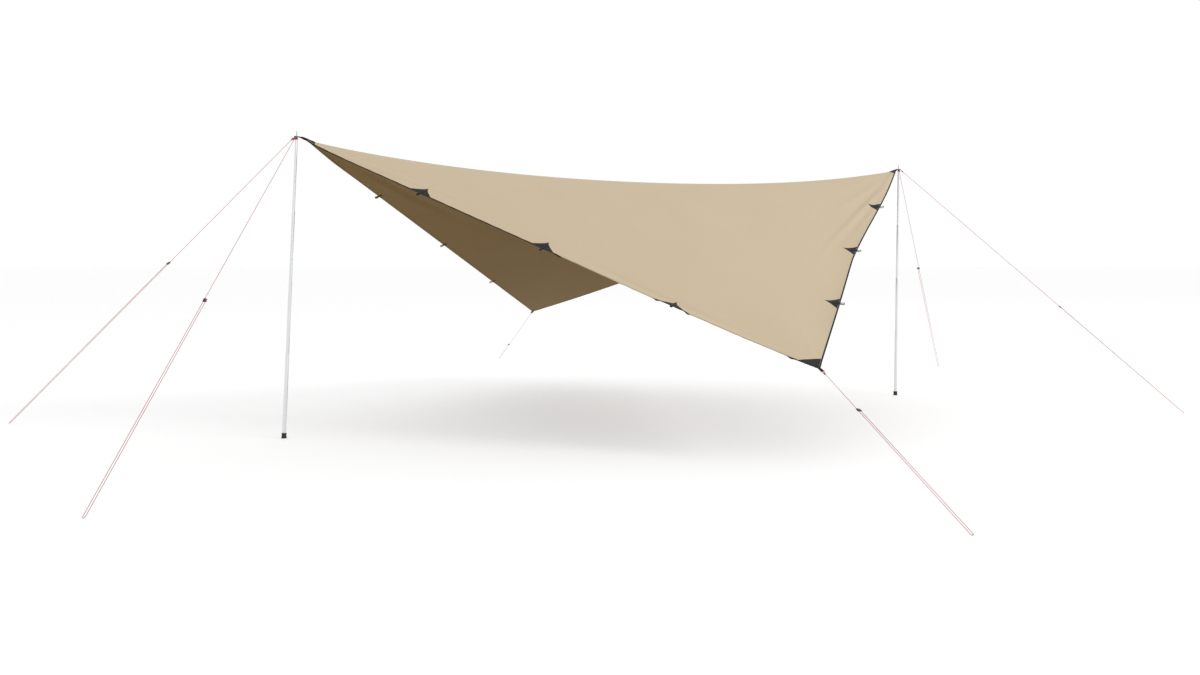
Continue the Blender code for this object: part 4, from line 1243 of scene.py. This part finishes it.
def cord_tube(path, diameter, sides=CORD_SIDES):
    """Round cord along a path: a grid wrapped round it, its seam closed and its ends capped."""
    last = len(path) - 1
    run = lengths_along(path)
    aheads = [(path[min(k + 1, last)] - path[max(k - 1, 0)]).normalized() for k in range(last + 1)]
    side = aheads[0].orthogonal().normalized()
    sideways = []
    for ahead in aheads:
        side = (side - ahead * side.dot(ahead)).normalized()
        sideways.append(side)

    def shape(x, y):
        k = round(x * last)
        turn = 2 * pi * y
        across = aheads[k].cross(sideways[k])
        return path[k] + (sideways[k] * cos(turn) + across * sin(turn)) * diameter / 2

    def cut_place(x, y):
        return (run[round(x * last)], y)

    piece = shaped_sheet(last, sides, shape, cut_place, 0)
    open_for_edit()
    bpy.ops.mesh.remove_doubles(threshold=MERGE)
    bpy.ops.mesh.select_all(action="DESELECT")
    bpy.ops.mesh.select_non_manifold()
    bpy.ops.mesh.edge_face_add()
    face_outwards()
    return piece


def wrapped_knot(start, ahead, side, length, radius, turns, flatten=1.0):
    """Path of a barrel knot: turns of cord wound side by side round the legs of a line."""
    across = ahead.cross(side).normalized()
    side = across.cross(ahead).normalized()
    count = round(turns * 12)
    points = []
    for k in range(count + 1):
        share = k / count
        turn = 2 * pi * turns * share
        swell = radius * (0.86 + 0.14 * sin(pi * share))
        spoke = side * cos(turn) * flatten + across * sin(turn)
        points.append(start + ahead * length * share + spoke * swell)
    return points


def red_cord(path, name, body, share=1.0, sides=CORD_SIDES, stands_for=None):
    """Cord along a path; in a knot the turns press it to a share of its diameter."""
    piece = cord_tube(path, CORD_DIAMETER * share, sides)
    return finish_piece(piece, name, (RED_CORD,), body, "red_cord", 70, stands_for)


def declare_cord(piece, path, far_end, with_pieces):
    """Says that a piece is a limp cord, held taut along its path."""
    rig.cord(
        piece,
        exit=path[0],
        length=lengths_along(path)[-1],
        diameter=CORD_DIAMETER,
        far_end=far_end,
        stiffness="limp",
        lay="taut",
        path=path,
        with_pieces=with_pieces,
    )


def make_guy(guy):
    """Line with its barrel knot, and the return with the knot that stops it above the runner."""
    eye, _, peg, down, side = guy_frame(guy)
    runner = GUYS[guy][2]
    body = f"runner_{guy}_body"
    route = line_route(guy)
    line = red_cord(route, "guy_line_" + guy, "tarp", stands_for="guy_" + guy)
    middle = (eye[0] + eye[-1]) / 2
    tail_side = (eye[0] - eye[-1]).normalized()
    turns = wrapped_knot(middle - down * 0.014, down, tail_side, *BARREL_KNOT)
    knot = red_cord(turns, "barrel_knot_" + guy, "tarp", 0.95, KNOT_SIDES)
    back_path = return_route(guy)
    back = red_cord(back_path, "return_line_" + guy, None)
    low = peg - down * TURN_LENGTH + side * LEG_GAP
    high = peg - down * (runner - RUNNER_BASE) + side * LEG_GAP
    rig.blend(back, "tarp", body, start=low, end=high)
    stop = peg - down * (runner + STOPPER_GAP) + side * LEG_GAP
    turns = wrapped_knot(stop, -down, side, STOPPER_LENGTH, STOPPER_RADIUS, STOPPER_TURNS)
    stopper = red_cord(turns, "stopper_knot_" + guy, body, 0.9, KNOT_SIDES)
    declare_cord(line, route, "object", [knot])
    declare_cord(back, back_path, "knot", [stopper, "sliding_runner_" + guy])


def runner_matrix(guy):
    """Frame of a runner: X up the standing leg, Y towards the returning leg."""
    _, _, peg, down, side = guy_frame(guy)
    return frame_matrix(-down, side, (-down).cross(side), peg - down * GUYS[guy][2])


def model_runner():
    """Three-cornered plate with rounded corners, a hollowed face each side and two bores."""
    select_only()
    low, high = -RUNNER_MARGIN, LEG_GAP + RUNNER_MARGIN
    corners = [(-RUNNER_BASE, low), (-RUNNER_BASE, high), (-RUNNER_BASE + 0.006, high)]
    corners += [(RUNNER_TOP, RUNNER_MARGIN * 0.8), (RUNNER_TOP, low)]
    bpy.ops.mesh.primitive_circle_add(vertices=len(corners), radius=0.01, fill_type="NGON")
    piece = bpy.context.object
    for vert, (x, y) in zip(piece.data.vertices, corners):
        vert.co = (x, y, -RUNNER_THICKNESS / 2)
    open_for_edit()
    bpy.ops.mesh.bevel(offset=RUNNER_ROUND, segments=5, affect="VERTICES")
    bpy.ops.mesh.select_all(action="SELECT")
    rise = (0.0, 0.0, RUNNER_THICKNESS)
    bpy.ops.mesh.extrude_region_move(TRANSFORM_OT_translate={"value": rise})
    face_outwards()
    round_edges(piece, 0.0006, 50)
    for polygon in piece.data.polygons:
        polygon.select = abs(polygon.normal.z) > 0.99 and polygon.area > 0.0001
    bpy.ops.object.mode_set(mode="EDIT")
    bpy.ops.mesh.select_mode(type="FACE")
    bpy.ops.mesh.inset(thickness=0.0022, use_individual=True)
    bpy.ops.transform.resize(value=(1.0, 1.0, 0.86))
    bpy.ops.mesh.select_mode(type="VERT")
    bpy.ops.object.mode_set(mode="OBJECT")
    for y in (0.0, LEG_GAP):
        select_only()
        spot, turn = (0.0, y, 0.0), (0.0, radians(90), 0.0)
        bpy.ops.mesh.primitive_cylinder_add(
            vertices=32, radius=RUNNER_HOLE, depth=0.08, location=spot, rotation=turn
        )
        cut_out(piece, bpy.context.object)
    return piece


def make_runners():
    pattern = model_runner()
    for guy in GUYS:
        select_only(pattern)
        bpy.ops.object.duplicate()
        runner = bpy.context.object
        runner.data.transform(runner_matrix(guy))
        name = "runner_" + guy
        finish_piece(
            runner, "sliding_" + name, (BLACK_PLASTIC,), name + "_body", "black_plastic", stands_for=name
        )
    bpy.data.objects.remove(pattern)


# Stage


def set_stage():
    """Plain white floor under an even white sky, with one broad soft lamp."""
    select_only()
    bpy.ops.mesh.primitive_plane_add(size=2400.0, location=(0.0, 0.0, -0.001))
    floor = bpy.context.object
    floor.name = "floor"
    made, _ = new_material(
        "matt_white_floor",
        Base_Color=colour("#BEBEBE"),
        Roughness=0.9,
        Emission_Color=colour("#FFFFFF"),
        Emission_Strength=0.42,
    )
    floor.data.materials.append(made)
    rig.stage(floor)
    world = bpy.data.worlds.new("even_sky")
    world.use_nodes = True
    world.node_tree.nodes["Background"].inputs["Color"].default_value = (1.0, 1.0, 1.0, 1.0)
    world.node_tree.nodes["Background"].inputs["Strength"].default_value = 1.0
    bpy.context.scene.world = world
    data = bpy.data.lights.new("broad_lamp", "AREA")
    data.size = LAMP_SIZE
    data.energy = LAMP_POWER
    lamp = bpy.data.objects.new("broad_lamp", data)
    bpy.context.scene.collection.objects.link(lamp)
    lamp.location = LAMP_PLACE
    lamp.rotation_euler = (LAMP_AIM - LAMP_PLACE).to_track_quat("-Z", "Y").to_euler()
    bpy.context.scene.view_settings.view_transform = "Standard"


def main():
    add_camera()
    make_runners()
    for guy in GUYS:
        make_guy(guy)
    sheet_pieces = []
    canopy = make_canopy()
    for edge in EDGES:
        sheet_pieces.append(make_binding(edge))
        for number, t in enumerate(TAB_SPOTS[edge], start=1):
            sheet_pieces.append(make_edge_tab(edge, number, t))
    for corner in CORNER_STEPS:
        sheet_pieces.append(make_corner_patch(corner))
        sheet_pieces.append(make_corner_strap(corner))
    for side in POLE_SIDES:
        make_pole(side)
    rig.sheet(
        canopy,
        flat=(CLOTH_SIDE, CLOTH_SIDE),
        area=CLOTH_AREA,
        held="stretched",
        rests_on=["left_pole_tip_plug", "right_pole_tip_plug"],
        with_pieces=sheet_pieces,
    )
    set_stage()


main()
boxes = {"cad": CAD_BOX, "visual": [list(corner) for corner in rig.bounds()]}
with open("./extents.json", "w") as out:
    json.dump(boxes, out)
